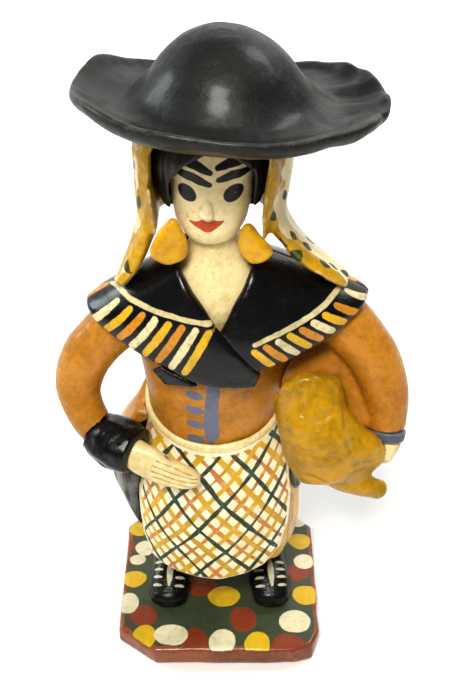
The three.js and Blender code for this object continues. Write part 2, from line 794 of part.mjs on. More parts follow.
const shawlCover = coveredByShawl();
const bodyWithGap = stack(BODICE_RINGS, GAP);
addPiece(
  'sleeve_right',
  sleeve(SLEEVE_RIGHT).subtract(bodyWithGap).subtract(shawlCover).subtract(cuff(GAP)),
  ORANGE,
);
addPiece(
  'sleeve_left',
  sleeve(SLEEVE_LEFT)
    .add(sleeve(SLEEVE_LEFT_INNER))
    .add(gusset())
    .subtract(bodyWithGap)
    .subtract(shawlCover)
    .subtract(wristband(GAP)),
  ORANGE,
);
addPiece(
  'cuff_right',
  cuff().subtract(handRight(GAP)).subtract(apronSkin(GAP)).subtract(peplumSolid(GAP))
    .subtract(waistband(GAP)).subtract(stack(DRAPE_RINGS, GAP)),
  BLACK,
);
addPiece('wristband_left', wristband(), BLUE_GREY);
addPiece('hand_right', handRight().subtract(apronSkin(GAP)), CREAM);
addPiece('hand_left', limb(HAND_LEFT, { steps: 3 }).subtract(wristband(GAP)), CREAM);

addPiece('neck_and_chest', stack(NECK_RINGS).subtract(stack(HEAD_RINGS, GAP)), CREAM);
addPiece('head', stack(HEAD_RINGS), CREAM);
addPiece('nose', nose(), CREAM);
addPiece('hair', hair(), HAIR_BROWN);
addPiece('headscarf', headscarf(), YELLOW);
addPiece('earring_right', earring(EARRING_RIGHT, -7, 0.35), YELLOW);
addPiece('earring_left', earring(EARRING_LEFT, -7, -0.35), YELLOW);
addPiece('hat', hat(), BLACK);
addPiece('shawl_right', shawlRight(), BLACK);
addPiece('shawl_left', shawlLeft(), BLACK);
addPiece('shawl_back', shawlBack(), BLACK);
addPiece('shawl_tail_left', shawlTail(), BLACK);
addPiece('bundle', bundle(), MUSTARD);

export default figure;
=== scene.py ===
"""Looks of a hand-modelled, fired and painted clay figure in country dress.

Every CAD node is replaced by a finer piece in the same place. A shape here is a field:
a function of (x, y, z) in millimetres that is negative inside the clay, and that
polygonise() turns into a mesh. Painted marks are distances in millimetres, kept on the
mesh as attributes that the materials read. Names say right and left as the figure does.
"""

import itertools
import math

import bpy
import numpy as np
import openvdb
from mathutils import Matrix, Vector


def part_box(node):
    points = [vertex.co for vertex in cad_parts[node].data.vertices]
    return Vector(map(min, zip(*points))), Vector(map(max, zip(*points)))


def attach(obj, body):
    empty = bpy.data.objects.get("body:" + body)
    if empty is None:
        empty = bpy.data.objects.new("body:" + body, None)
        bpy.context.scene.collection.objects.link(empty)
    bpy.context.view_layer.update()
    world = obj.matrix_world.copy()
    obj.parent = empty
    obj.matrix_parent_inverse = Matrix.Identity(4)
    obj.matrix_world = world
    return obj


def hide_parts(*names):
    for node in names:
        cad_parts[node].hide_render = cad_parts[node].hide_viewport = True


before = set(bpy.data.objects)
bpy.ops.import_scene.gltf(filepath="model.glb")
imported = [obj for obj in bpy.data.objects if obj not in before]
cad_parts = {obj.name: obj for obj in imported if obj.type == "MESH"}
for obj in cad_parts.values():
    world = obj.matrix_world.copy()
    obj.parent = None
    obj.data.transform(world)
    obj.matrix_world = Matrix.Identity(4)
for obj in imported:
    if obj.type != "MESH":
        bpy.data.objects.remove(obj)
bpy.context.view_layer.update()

MM = 0.001
COARSE = 1.0  # scales every mesh step; bigger gives coarser meshes
STEP = 0.6 * COARSE  # mesh step of most pieces, mm
FINE_STEP = 0.42 * COARSE  # mesh step of the head and hands, mm
FAR = 1e3
STROKE_DEPTH = 4.0  # mm that a painted line may run over or under its surface
LAID_STEPS = 8  # steps between two points of a line that is laid on a surface

# ------------------------------------------------------------------ numbers and curves


def spline(knots, values, at):
    """A smooth curve through values at rising knots, held beyond the ends."""
    knots = np.asarray(knots, float)
    values = np.asarray(values, float)
    slopes = np.gradient(values, knots)
    at = np.clip(at, knots[0], knots[-1])
    left = np.clip(np.searchsorted(knots, at, side="right") - 1, 0, len(knots) - 2)
    span = knots[left + 1] - knots[left]
    t = (at - knots[left]) / span
    rise = t * t * (3 - 2 * t)
    return (
        values[left] * (1 - rise)
        + values[left + 1] * rise
        + slopes[left] * span * t * (1 - t) ** 2
        - slopes[left + 1] * span * t * t * (1 - t)
    )


def smoothstep(start, end, value):
    t = np.clip((value - start) / (end - start), 0, 1)
    return t * t * (3 - 2 * t)


def either(a, b, blend=0.0):
    """The union of two fields, filleted over `blend` mm."""
    if not blend:
        return np.minimum(a, b)
    share = np.clip(0.5 + 0.5 * (b - a) / blend, 0, 1)
    return b + (a - b) * share - blend * share * (1 - share)


def both(a, b, blend=0.0):
    """The overlap of two fields, its edge rounded over `blend` mm."""
    return -either(-a, -b, blend)


def without(a, b, blend=0.0):
    return both(a, -b, blend)


def noise(x, y, z, size, seed):
    """Smooth noise from about -1 to 1, whose bumps are `size` mm across."""
    lattice = np.random.default_rng(seed).uniform(-1, 1, (24, 24, 24)).astype(np.float32)
    cells, shares = [], []
    for value in (x, y, z):
        place = np.asarray(value, np.float32) / size + 240
        cell = np.floor(place)
        share = place - cell
        cells.append(cell.astype(np.int32))
        shares.append(share * share * (3 - 2 * share))
    total = 0.0
    for corner in itertools.product((0, 1), repeat=3):
        weight = 1.0
        for step, share in zip(corner, shares):
            weight = weight * (share if step else 1 - share)
        index = tuple((cell + step) % 24 for cell, step in zip(cells, corner))
        total = total + weight * lattice[index]
    return total


def lumps(x, y, z, seed, broad=0.3, small=0.12):
    """The unevenness that fingers leave in clay."""
    return broad * noise(x, y, z, 13, seed) + small * noise(x, y, z, 4.5, seed + 1)


# ------------------------------------------------------------------ fields


def stack(rings, blend=2.0):
    """A solid through level rings of height, centre x, centre y, half width, half depth."""
    heights, *columns = np.array(rings, float).T

    def field(x, y, z):
        cx, cy, width, depth = [spline(heights, column, z) for column in columns]
        swell = [spline(heights, columns[2] + columns[3], z + step) for step in (-0.5, 0.5)]
        lean = 1 / np.sqrt(1 + ((swell[1] - swell[0]) / 2) ** 2)
        radius = np.sqrt((x - cx) ** 2 + (y - cy) ** 2)
        reach = np.sqrt(((x - cx) / width) ** 2 + ((y - cy) / depth) ** 2)
        size = np.where(reach > 0.05, radius / np.maximum(reach, 0.05), np.minimum(width, depth))
        ends = np.maximum(heights[0] - z, z - heights[-1])
        return both((reach - 1) * size * lean, ends + 0 * reach, blend)

    return field


def limb(stations, across=(0, 1, 0), ends=0.9):
    """A rounded limb through stations of place, half width along `across` and half
    thickness, like the CAD's; `ends` says how round its ends are."""
    stations = [(*place, width, thickness) for place, width, thickness in stations]
    knots = np.arange(len(stations))
    fine = np.linspace(0, knots[-1], 5 * knots[-1] + 1)
    rows = np.array([spline(knots, column, fine) for column in zip(*stations)]).T
    across = np.array(across, float)

    def field(x, y, z):
        best = FAR
        for start, end in zip(rows[:-1], rows[1:]):
            run = end[:3] - start[:3]
            length = np.linalg.norm(run)
            tangent = run / length
            side = across - across.dot(tangent) * tangent
            side /= np.linalg.norm(side)
            up = np.cross(tangent, side)
            place = (x - start[0], y - start[1], z - start[2])
            along, p, q = [sum(a * b for a, b in zip(place, axis)) for axis in (tangent, side, up)]
            share = np.clip(along / length, 0, 1)
            past = along - share * length
            width, thickness = [start[i] + (end[i] - start[i]) * share for i in (3, 4)]
            least = np.minimum(width, thickness)
            reach = np.sqrt((p / width) ** 2 + (q / thickness) ** 2 + (past / (ends * least)) ** 2)
            radius = np.sqrt(p * p + q * q + past * past)
            size = np.where(reach > 0.05, radius / np.maximum(reach, 0.05), least)
            best = np.minimum(best, (reach - 1) * size)
        return best

    return field


def rounded(outline, steps=4):
    """A closed outline bent smoothly through its points."""
    points = np.array(outline, float)
    before, after, later = [np.roll(points, shift, axis=0) for shift in (1, -1, -2)]
    rows = []
    for t in np.arange(steps) / steps:
        rows.append(
            points
            + 0.5 * t * (after - before)
            + t * t * (before - 2.5 * points + 2 * after - 0.5 * later)
            + t**3 * (-0.5 * before + 1.5 * points - 1.5 * after + 0.5 * later)
        )
    return np.stack(rows, axis=1).reshape(-1, 2)


def inside(outline, u, v):
    """Distance from a closed outline in a plane, negative inside it."""
    nearest, within = FAR, False
    for (u0, v0), (u1, v1) in zip(outline, np.roll(outline, -1, axis=0)):
        du, dv = u1 - u0, v1 - v0
        share = np.clip(((u - u0) * du + (v - v0) * dv) / max(du * du + dv * dv, 1e-9), 0, 1)
        gap = (u - u0 - share * du) ** 2 + (v - v0 - share * dv) ** 2
        nearest = np.minimum(nearest, gap)
        crosses = ((v0 <= v) != (v1 <= v)) & (u < u0 + du * (v - v0) / (dv or 1e-9))
        within = within ^ crosses
    return np.where(within, -1, 1) * np.sqrt(nearest)


def front_view(outline):
    """All that an outline of (x, z) covers in the front view."""
    outline = np.asarray(outline, float)
    return lambda x, y, z: inside(outline, x, z)


def side_view(outline):
    """All that an outline of (y, z) covers in the side view."""
    outline = np.asarray(outline, float)
    return lambda x, y, z: inside(outline, y, z)


def strokes(x, y, z, lines, radius, taper=0.0, facing=None):
    """Distance in mm from round-ended strokes along lines of (x, y, z) points. A stroke
    thins towards both ends by `taper` of its radius. With the surface's normals given as
    `facing`, a line that runs up to STROKE_DEPTH over or under the surface still counts."""
    nearest = FAR
    for line in lines:
        line = np.array(line, float)
        lengths = np.linalg.norm(np.diff(line, axis=0), axis=1)
        total, done = lengths.sum(), 0.0
        for start, end, length in zip(line[:-1], line[1:], lengths):
            run = (end - start) / max(length, 1e-9)
            place = (x - start[0], y - start[1], z - start[2])
            share = np.clip(sum(a * b for a, b in zip(place, run)), 0, length)
            gaps = [a - share * b for a, b in zip(place, run)]
            gap = sum(value * value for value in gaps)
            if facing is not None:
                off = np.abs(sum(value * normal for value, normal in zip(gaps, facing)))
                gap = gap - np.minimum(off, STROKE_DEPTH) ** 2
            middle = 1 - np.abs(2 * (done + share) / total - 1) ** 2
            gap = np.sqrt(np.maximum(gap, 0))
            nearest = np.minimum(nearest, gap - radius * (1 - taper * (1 - middle)))
            done += length
    return nearest


def front_strokes(x, z, lines, radius, taper=0.0):
    """Distance from strokes along lines of (x, z) points, whatever the depth."""
    lines = [[(u, 0, v) for u, v in line] for line in lines]
    return strokes(x, 0 * x, z, lines, radius, taper)


def laid_on(field, lines, axis):
    """Lines of flat points laid on a field's surface in short steps: (x, z) points from
    the front for axis 1, (x, y) points from above for axis 2."""
    track = np.linspace(-60, 60, 481) if axis == 1 else np.linspace(60, 0, 481)
    laid = []
    for line in lines:
        line = np.array(line, float)
        knots = np.arange(len(line))
        fine = np.linspace(0, knots[-1], LAID_STEPS * knots[-1] + 1)
        places = []
        for point in zip(*(np.interp(fine, knots, column) for column in line.T)):
            place = [value + 0 * track for value in point]
            place.insert(axis, track)
            depth = track[np.maximum(field(*place), 0).argmin()]
            places.append((*point[:axis], depth, *point[axis:]))
        laid.append(places)
    return laid


# ------------------------------------------------------------------ meshes


def faces_of(mesh):
    """The faces of a polygonised grid as triangles, for sums over the surface."""
    _, triangles, quads = mesh
    return np.concatenate([triangles, quads[:, [0, 1, 2]], quads[:, [0, 2, 3]]])


def edges_of(mesh):
    """Every pair of joined vertices, once."""
    _, triangles, quads = mesh
    pairs = [shape[:, [i, (i + 1) % n]] for shape, n in ((triangles, 3), (quads, 4)) for i in range(n)]
    return np.unique(np.sort(np.concatenate(pairs), axis=1), axis=0)


def spread(values, edges, times=1, share=0.5):
    """Values at the vertices, averaged with their neighbours' some times over."""
    count = np.bincount(edges.ravel(), minlength=len(values))
    flat = values.reshape(len(values), -1)
    for _ in range(times):
        total = np.empty_like(flat)
        for i in range(flat.shape[1]):
            total[:, i] = np.bincount(edges[:, 0], flat[edges[:, 1], i], len(flat))
            total[:, i] += np.bincount(edges[:, 1], flat[edges[:, 0], i], len(flat))
        flat = flat + share * (total / count[:, None] - flat)
    return flat.reshape(values.shape)


def normals_of(mesh):
    points = mesh[0]
    faces = faces_of(mesh)
    corners = points[faces]
    normals = np.cross(corners[:, 1] - corners[:, 0], corners[:, 2] - corners[:, 0])
    summed = np.stack(
        [
            sum(np.bincount(faces[:, k], normals[:, i], len(points)) for k in range(3))
            for i in range(3)
        ],
        axis=1,
    )
    return summed / np.maximum(np.linalg.norm(summed, axis=1, keepdims=True), 1e-12)


def largest_body(mesh):
    """The mesh without the small loose bits that a cut can leave."""
    points, triangles, quads = mesh
    edges = edges_of(mesh)
    labels = np.arange(len(points))
    while True:
        before = labels.copy()
        low = np.minimum(labels[edges[:, 0]], labels[edges[:, 1]])
        np.minimum.at(labels, edges[:, 0], low)
        np.minimum.at(labels, edges[:, 1], low)
        labels = labels[labels]
        if np.array_equal(labels, before):
            break
    keep = labels == np.bincount(labels).argmax()
    places = np.cumsum(keep) - 1
    return (
        points[keep],
        places[triangles[keep[triangles[:, 0]]]],
        places[quads[keep[quads[:, 0]]]],
    )


def polygonise(field, low, high, step=STEP, smoothing=2):
    """The surface of a field in a box, as points, triangles and quads."""
    axes = [np.arange(a - 3 * step, b + 3 * step, step) for a, b in zip(low, high)]
    x, y, z = np.ix_(*axes)
    values = np.broadcast_to(field(x, y, z), [len(axis) for axis in axes])
    values = np.clip(values, -3 * step, 3 * step).astype(np.float32)
    for axis in range(3):
        for end in (0, -1):
            side = [slice(None)] * 3
            side[axis] = end
            values[tuple(side)] = 3 * step
    grid = openvdb.FloatGrid(background=3 * step)
    grid.copyFromArray(values)
    grid.transform = openvdb.createLinearTransform(voxelSize=step)
    points, triangles, quads = grid.convertToPolygons(isovalue=0.0, adaptivity=0.0)
    points = points.astype(float) + [axis[0] for axis in axes]
    mesh = largest_body((points, triangles.astype(int), quads.astype(int)))
    edges = edges_of(mesh)
    for _ in range(smoothing):
        for share in (0.5, -0.52):
            mesh = (spread(mesh[0], edges, share=share), *mesh[1:])
    return mesh


def node_box(*names, margin=1.5):
    """The box in mm round some CAD nodes."""
    corners = np.array([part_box(name) for name in names]) / MM
    return corners[:, 0].min(axis=0) - margin, corners[:, 1].max(axis=0) + margin


def make_piece(name, node, field, material, marks=None, step=STEP, smoothing=2, margin=1.5):
    """Adds the piece that replaces a CAD node. `marks` gives its painted marks: a
    function of the vertices' (x, y, z) and normals that returns distances in mm by name."""
    mesh = polygonise(field, *node_box(node, margin=margin), step, smoothing)
    points, triangles, quads = mesh
    edges = edges_of(mesh)
    normals = normals_of(mesh)
    data = bpy.data.meshes.new(name)
    data.from_pydata(points * MM, [], triangles.tolist() + quads.tolist())
    data.polygons.foreach_set("use_smooth", np.ones(len(data.polygons), bool))
    # How deep each vertex lies in a hollow: the materials darken hollows with painted shade and colour
    # proud edges from it.
    hollow = np.einsum("ij,ij->i", spread(points, edges, 3) - points, normals) / step
    values = {"hollow": spread(hollow, edges, 3)}
    values.update({key: FAR for key in material["marks"].split()})
    if marks:
        values.update(marks(*points.T, normals.T))
    for key, value in values.items():
        layer = data.attributes.new(key, "FLOAT", "POINT")
        layer.data.foreach_set("value", np.broadcast_to(value, len(points)).astype(np.float32))
    piece = bpy.data.objects.new(name, data)
    bpy.context.scene.collection.objects.link(piece)
    data.materials.append(material)
    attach(piece, "root")
    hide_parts(node)
    return piece


# ------------------------------------------------------------------ materials


def add_node(tree, kind, inputs=None, **settings):
    node = tree.nodes.new(kind)
    for key, value in settings.items():
        setattr(node, key, value)
    for key, value in (inputs or {}).items():
        if isinstance(value, bpy.types.NodeSocket):
            tree.links.new(value, node.inputs[key])
        else:
            node.inputs[key].default_value = value
    return node


def math_node(tree, operation, *values, clamp=False):
    inputs = dict(enumerate(values))
    return add_node(tree, "ShaderNodeMath", inputs, operation=operation, use_clamp=clamp).outputs[0]


def mix_colour(tree, share, first, second):
    inputs = {0: share, 6: first, 7: second}
    return add_node(tree, "ShaderNodeMix", inputs, data_type="RGBA").outputs[2]


def noise_node(tree, place, size, detail=3.0, roughness=0.55):
    """Noise from 0 to 1 with features of `size` mm, read at a place in metres."""
    inputs = {"Vector": place, "Scale": 1 / (size * MM), "Detail": detail, "Roughness": roughness}
    return add_node(tree, "ShaderNodeTexNoise", inputs).outputs[0]


def ramp_node(tree, value, start, end, low=0.0, high=1.0):
    inputs = {0: value, 1: start, 2: end, 3: low, 4: high}
    return add_node(
        tree, "ShaderNodeMapRange", inputs, interpolation_type="SMOOTHSTEP", clamp=True
    ).outputs[0]


def colour(hex_code):
    """A colour as written on the web, as linear numbers."""
    parts = [int(hex_code[i : i + 2], 16) / 255 for i in (0, 2, 4)]
    linear = [part / 12.92 if part < 0.04045 else ((part + 0.055) / 1.055) ** 2.4 for part in parts]
    return (*linear, 1.0)


def darker(hex_code, share):
    return (*(share * part for part in colour(hex_code)[:3]), 1.0)


def painted_clay(
    name,
    base,
    shade,
    layers=(),
    roughness=0.36,
    coat=0.25,
    stretch=(1, 1, 1),
    speck=None,
    wear_and_sheen=None,
    grain=1.0,
):
    """Brushed paint on clay. `layers` are painted marks from the bottom up: attribute,
    colour, how far its edge wanders and how dense it is. `stretch` draws the brush
    streaks out and `speck` is a colour of small specks. The edge colour shows on proud
    edges: worn paint, and on the hat a painted highlight. Hollows get painted shade."""
    material = bpy.data.materials.new(name)
    material.use_nodes = True
    tree = material.node_tree
    shader = tree.nodes["Principled BSDF"]
    place = add_node(tree, "ShaderNodeTexCoord").outputs["Object"]
    drawn = add_node(tree, "ShaderNodeMapping", {"Vector": place, "Scale": stretch}).outputs[0]
    broad = noise_node(tree, place, 16)
    streak = noise_node(tree, drawn, 2.2, 5, 0.65)
    fine = noise_node(tree, place, 0.55, 4, 0.6)
    wander = noise_node(tree, place, 2.6, 3)

    slow = math_node(tree, "MULTIPLY", broad, 0.55)
    tone = math_node(tree, "MULTIPLY_ADD", streak, 0.45, slow)
    paint = mix_colour(tree, ramp_node(tree, tone, 0.4, 0.62), colour(base), colour(shade))
    height = math_node(tree, "MULTIPLY", streak, 0.10)
    for attribute, hex_code, edge, dense in layers:
        gap = add_node(tree, "ShaderNodeAttribute", attribute_name=attribute).outputs["Fac"]
        shifted = math_node(tree, "MULTIPLY_ADD", math_node(tree, "SUBTRACT", wander, 0.5), edge, gap)
        mask = ramp_node(tree, shifted, 0.16, -0.16)
        body = ramp_node(tree, streak, 0.3, 0.55, dense, 1.0)
        share = math_node(tree, "MULTIPLY", mask, body)
        uneven = ramp_node(tree, broad, 0.38, 0.6)
        brushed = mix_colour(tree, uneven, darker(hex_code, 0.82), colour(hex_code))
        paint = mix_colour(tree, share, paint, brushed)
        height = math_node(tree, "MULTIPLY_ADD", share, 0.07, height)

    hollow = add_node(tree, "ShaderNodeAttribute", attribute_name="hollow").outputs["Fac"]
    # Painted shade: the hollows of the mesh are darkened towards a dark copy of the shade colour.
    hollow_shade = math_node(tree, "MULTIPLY", ramp_node(tree, hollow, 0.04, 0.24), 0.6)
    paint = mix_colour(tree, hollow_shade, paint, darker(shade, 0.3))
    # Proud edges take the edge colour: worn paint, and on the hat a painted highlight along its rim.
    if wear_and_sheen:
        proud = ramp_node(tree, math_node(tree, "MULTIPLY_ADD", fine, -0.25, hollow), -0.2, -0.34)
        paint = mix_colour(tree, math_node(tree, "MULTIPLY", proud, 0.6), paint, colour(wear_and_sheen))
    if speck:
        dots = ramp_node(tree, noise_node(tree, place, 1.1, 2), 0.7, 0.76)
        paint = mix_colour(tree, math_node(tree, "MULTIPLY", dots, 0.7), paint, colour(speck))

    pits = math_node(tree, "MULTIPLY", fine, 0.09 * grain)
    dents = math_node(tree, "MULTIPLY", noise_node(tree, place, 5, 2), 0.35 * grain)
    height = math_node(tree, "ADD", height, math_node(tree, "ADD", pits, dents))
    bump = add_node(tree, "ShaderNodeBump", {"Strength": 1.0, "Distance": MM, "Height": height})
    rough = ramp_node(tree, tone, 0.35, 0.68, roughness - 0.08, roughness + 0.1)
    tree.links.new(paint, shader.inputs["Base Color"])
    tree.links.new(rough, shader.inputs["Roughness"])
    tree.links.new(bump.outputs[0], shader.inputs["Normal"])
    shader.inputs["Specular IOR Level"].default_value = 0.25
    shader.inputs["Coat Weight"].default_value = coat
    shader.inputs["Coat Roughness"].default_value = 0.18
    material["marks"] = " ".join(layer[0] for layer in layers)
    return material


# ------------------------------------------------------------------ slab


SLAB_OUTLINE = np.array(
    [
        [-24, -36.3], [29, -36.3], [35.6, -34], [38.3, -27], [38.3, 28], [30, 36.3],
        [-30, 36.3], [-38.3, 28], [-38.3, -26],
    ]
)


def slab(x, y, z):
    plan = inside(SLAB_OUTLINE, x, y) - 1.2 + 0.35 * noise(x, y, z, 9, 11)
    height = np.abs(z - 4.6) - 4.4 + 0.12 * noise(x, y, z, 14, 12)
    return both(plan, height, 2.2)


# Dots on the slab's top: place and radius in mm.
YELLOW_DOTS = [
    (-35, 26, 4.2), (-35, -2, 4.6), (-29, -31, 5.2), (2, -11, 5.6), (15, -34.5, 5.4),
    (35, -10.5, 5.2), (34, 19, 4.6), (-10, 20, 5), (14, 30, 5), (-20, 33, 4.4), (22, 8, 4.4),
]
CREAM_DOTS = [
    (-32, 15, 4.2), (-34.5, 8.5, 3.2), (-36.5, -14.5, 4.6), (-18.5, -30, 6), (1.5, -33.5, 5.6),
    (30, -23.5, 6), (35.5, 7.5, 4.2), (34, 31, 3.6), (-16, 22, 4.4), (4, 24, 4.8), (-28, 31, 4),
]
BRICK_DOTS = [
    (-39, 16, 3.4), (-30, -21, 5.4), (-9.5, -33, 5.6), (-7.5, -6, 5.4), (9.5, -22.5, 5.8),
    (27, -35.5, 6.2), (32.5, 1.5, 4.6), (-22, 12, 4.4), (24, 24, 4.8), (-4, 32, 4.6),
]


def dots(x, y, places):
    """Distance from blobs put on with a round brush."""
    nearest = FAR
    for index, (px, py, radius) in enumerate(places):
        squeeze = 1 + 0.12 * math.sin(3.7 * index)
        gap = np.sqrt(((x - px) * squeeze) ** 2 + ((y - py) / squeeze) ** 2) - radius
        nearest = np.minimum(nearest, gap)
    return nearest


def slab_marks(x, y, z, facing):
    above = 8.2 - z  # positive where the paint of the top hasn't run down the side
    edge = inside(SLAB_OUTLINE, x, y) + 0.6
    top = np.maximum(above, edge)
    wobble = 0.5 * noise(x, y, z, 5, 13)
    return {
        "top": top + wobble,
        "yellow": np.maximum(dots(x, y, YELLOW_DOTS) + wobble, above),
        "cream": np.maximum(dots(x, y, CREAM_DOTS) + wobble, above),
        "brick": np.maximum(dots(x, y, BRICK_DOTS) + wobble, above),
    }


# ------------------------------------------------------------------ shoes and legs

SHOE_TOP = 27.6
SHOES = {"right": (-19.4, -3), "left": (19.6, 5)}  # place across and turn outward, degrees
SHOE_BODY = limb(
    [
        [[0, 8, 14.8], 6.6, 6.4],
        [[0, 0, 15.5], 7.4, 7.6],
        [[0, -9, 14.3], 8.1, 6.4],
        [[0, -16, 12.7], 7.2, 4.6],
    ],
    across=(1, 0, 0),
)
SHOE_SHAFT = stack([[13, 0, 3.5, 6.6, 7], [20, 0, 3.6, 7, 7.2], [SHOE_TOP, 0, 3.8, 7, 7]])


def shoe(middle, turn):
    """A boot whose toe turns outward by `turn` degrees."""
    cosine, sine = math.cos(math.radians(turn)), math.sin(math.radians(turn))

    def field(x, y, z):
        u = (x - middle) * cosine + (y - 1.8) * sine
        v = -(x - middle) * sine + (y - 1.8) * cosine
        body = either(SHOE_BODY(u, v, z), SHOE_SHAFT(u, v, z), 3)
        return both(body, 9.2 - z, 0.8) + lumps(x, y, z, 21, 0.18, 0.08)

    return field


def lace_marks(middle, turn):
    """A long stroke down the tongue and short laces in rows to both sides of it."""
    cosine, sine = math.cos(math.radians(turn)), math.sin(math.radians(turn))
    flat = [[(0.3, -5), (0.3, -15)]]
    for row in range(4):
        back = -5 - 3 * row
        flat += [[(side * 2.8, back - 1), (side * 6, back)] for side in (-1, 1)]
    lines = [
        [(middle + u * cosine - v * sine, 1.8 + u * sine + v * cosine) for u, v in line]
        for line in flat
    ]
    lines = laid_on(shoe(middle, turn), lines, 2)

    def marks(x, y, z, facing):
        thick = strokes(x, y, z, lines[:1], 1.25, 0.6, facing)
        thin = strokes(x, y, z, lines[1:], 0.6, 0.45, facing)
        return {"lace": np.minimum(thick, thin)}

    return marks


def leg(foot):
    return stack(
        [
            [SHOE_TOP + 0.3, 0.86 * foot, 3.4, 5.4, 6],
            [55, 0.66 * foot, 2.5, 6.6, 7.4],
            [87.4, 0.45 * foot, 1.5, 7, 7.6],
        ]
    )


# ------------------------------------------------------------------ skirt and apron

SKIRT_RINGS = [
    [30.5, 0, 3.2, 28.5, 21],
    [38, 0, 3.2, 30.2, 22],
    [50, 0, 3, 31, 22.6],
    [64, -0.3, 2.6, 30.2, 22],
    [78, -0.6, 2, 27.6, 19.6],
    [87, -1, 1.4, 25, 17.4],
    [92, -1, 1, 22.8, 15.6],
]
SKIRT_OUTSIDE = stack(SKIRT_RINGS, 1.6)
SKIRT_HOLLOW = stack(
    [[20, 0, 3.2, 24.5, 17]] + [[z - 4, x, y, w - 4, d - 4] for z, x, y, w, d in SKIRT_RINGS[1:]]
)
SKIRT_CORE = stack([[25, 0, 3.2, 28.5, 21]] + SKIRT_RINGS[1:])


def bearing(x, y, cx=0.0, cy=2.0):
    """Angle round the figure in radians: 0 at the front, rising towards her left."""
    return np.arctan2(x - cx, cy - y)


def skirt(x, y, z):
    turn = bearing(x, y)
    pleats = 0.35 * np.sin(15 * turn + 0.8 * noise(x, y, z, 20, 31)) * smoothstep(90, 50, z)
    outside = SKIRT_OUTSIDE(x, y, z) + pleats + lumps(x, y, z, 32, 0.25)
    return without(outside, SKIRT_HOLLOW(x, y, z), 1.2)


def skirt_marks(x, y, z, facing):
    turn = bearing(x, y)
    streaks = np.sin(19 * turn + 1.5 * noise(x, y, z, 18, 33)) * 1.6 + 0.9
    return {
        "streak": np.maximum(streaks, z - 62) + 1.2 * noise(x, y, z, 6, 34),
        "hem": z - 31.6 + 0.5 * noise(x, y, z, 8, 35),
    }


APRON_OUTLINE = [
    [-30.2, 62], [-29.6, 44], [-26.5, 33], [-16, 30], [0, 29.4], [10, 31], [18, 34.2],
    [23.6, 41], [26.6, 52], [27.4, 66], [26.2, 82], [23.6, 98], [23, 112], [-26, 112], [-27.8, 80],
]
WAIST_RINGS = [[96, -1, 1, 22.8, 15.8], [106, -0.8, 1, 23.8, 16.5]]
APRON_SKIN = stack([[20, 0, 3.2, 28.5, 21]] + SKIRT_RINGS[1:-1] + WAIST_RINGS)
APRON_STANDS = 1.9  # how far the apron's outside is from the skirt
APRON_FRONT = front_view(APRON_OUTLINE)


def string_height(y):
    """Height of the apron's string at a depth y."""
    return 93.8 + 22.2 * (y + 16) / 34


def apron(x, y, z):
    skin = APRON_SKIN(x, y, z) - APRON_STANDS + lumps(x, y, z, 41, 0.3, 0.1)
    sheet = without(skin, SKIRT_CORE(x, y, z) - 0.1, 0.4)
    sheet = without(sheet, BODICE(x, y, z) - 0.1, 0.4)
    edge = APRON_FRONT(x, y, z) + 0.35 * noise(x, y, z, 6, 42)
    sheet = both(sheet, edge, 1.4)
    return both(both(sheet, y + 1, 1), z - string_height(y) + 0.6, 0.6)


def apron_room(x, y, z):
    """The room the apron takes up."""
    return np.maximum(both(APRON_SKIN(x, y, z) - 2.2, APRON_FRONT(x, y, z) - 0.3), y + 0.8)


PLAID_WIDE = 19.2  # mm from one dark line to the next, measured level
PLAID_TALL = 24.4
PLAID_START = (-6.8, 57.8)  # where two dark lines cross


def stripe(across, offset, half):
    """Distance from parallel lines, `across` counted in periods; `half` in mm."""
    period = PLAID_WIDE * PLAID_TALL / math.hypot(PLAID_WIDE, PLAID_TALL)
    nearest = np.abs((across - offset + 0.5) % 1 - 0.5)
    return nearest * period - half


def apron_marks(x, y, z, facing):
    u = 31.5 * np.arcsin(np.clip(x / 31.5, -1, 1)) + 0.9 * noise(x, y, z, 17, 43)
    v = z + 1.1 * noise(x, y, z, 19, 44)
    falling = (u - PLAID_START[0]) / PLAID_WIDE + (v - PLAID_START[1]) / PLAID_TALL
    rising = (u - PLAID_START[0]) / PLAID_WIDE - (v - PLAID_START[1]) / PLAID_TALL
    press = 0.4 * noise(x, y, z, 5, 45)  # how hard the brush was pressed
    lines = {}
    for key, offset, half in (("green", 0, 0.8), ("orange", 1 / 3, 0.8), ("yellow", 2 / 3, 1.05)):
        first = stripe(falling, offset, half + press)
        second = stripe(rising, offset, half - press)
        lines[key] = np.minimum(first, second)
    frame_gap = APRON_FRONT(x, y, z) + 1.2
    top = z - string_height(y) + 1.9
    kept = np.maximum(frame_gap, top)
    return {key: np.maximum(value, kept) for key, value in lines.items()}


# ------------------------------------------------------------------ body

BODICE_RINGS = [
    [91.8, -1, 1, 22.6, 15.6],
    [100, -1, 1, 23.2, 16],
    [112, -0.5, 1, 24.6, 17],
    [125, 0.3, 1, 27, 18],
    [138, 1.5, 1.5, 31.5, 18],
    [148, 2.5, 2, 34, 16.5],
    [156, 2, 2, 26, 13.5],
    [162, 1, 1.5, 16, 11],
    [166, 0.5, 1, 11, 9.5],
]
BODICE = stack(BODICE_RINGS, 1.5)


def bodice(x, y, z):
    return BODICE(x, y, z) + lumps(x, y, z, 51, 0.35, 0.12)


BUTTONS = laid_on(BODICE, [[(-10, z + 0.7), (-5, z - 0.7)] for z in range(97, 119, 7)], 1)
PLACKET = [
    [-3.2, 128], [-3.4, 121.8], [-4.4, 108], [-4, 98], [-2, 93.6], [0.2, 97], [1.1, 108], [0.9, 128],
]


def bodice_marks(x, y, z, facing):
    front = y + 4
    placket = inside(np.array(PLACKET), x + 0.5 * noise(x, y, z, 5, 52), z)
    return {
        "blue": np.maximum(placket, front),
        "button": strokes(x, y, z, BUTTONS, 1.9, 0.6, facing),
    }


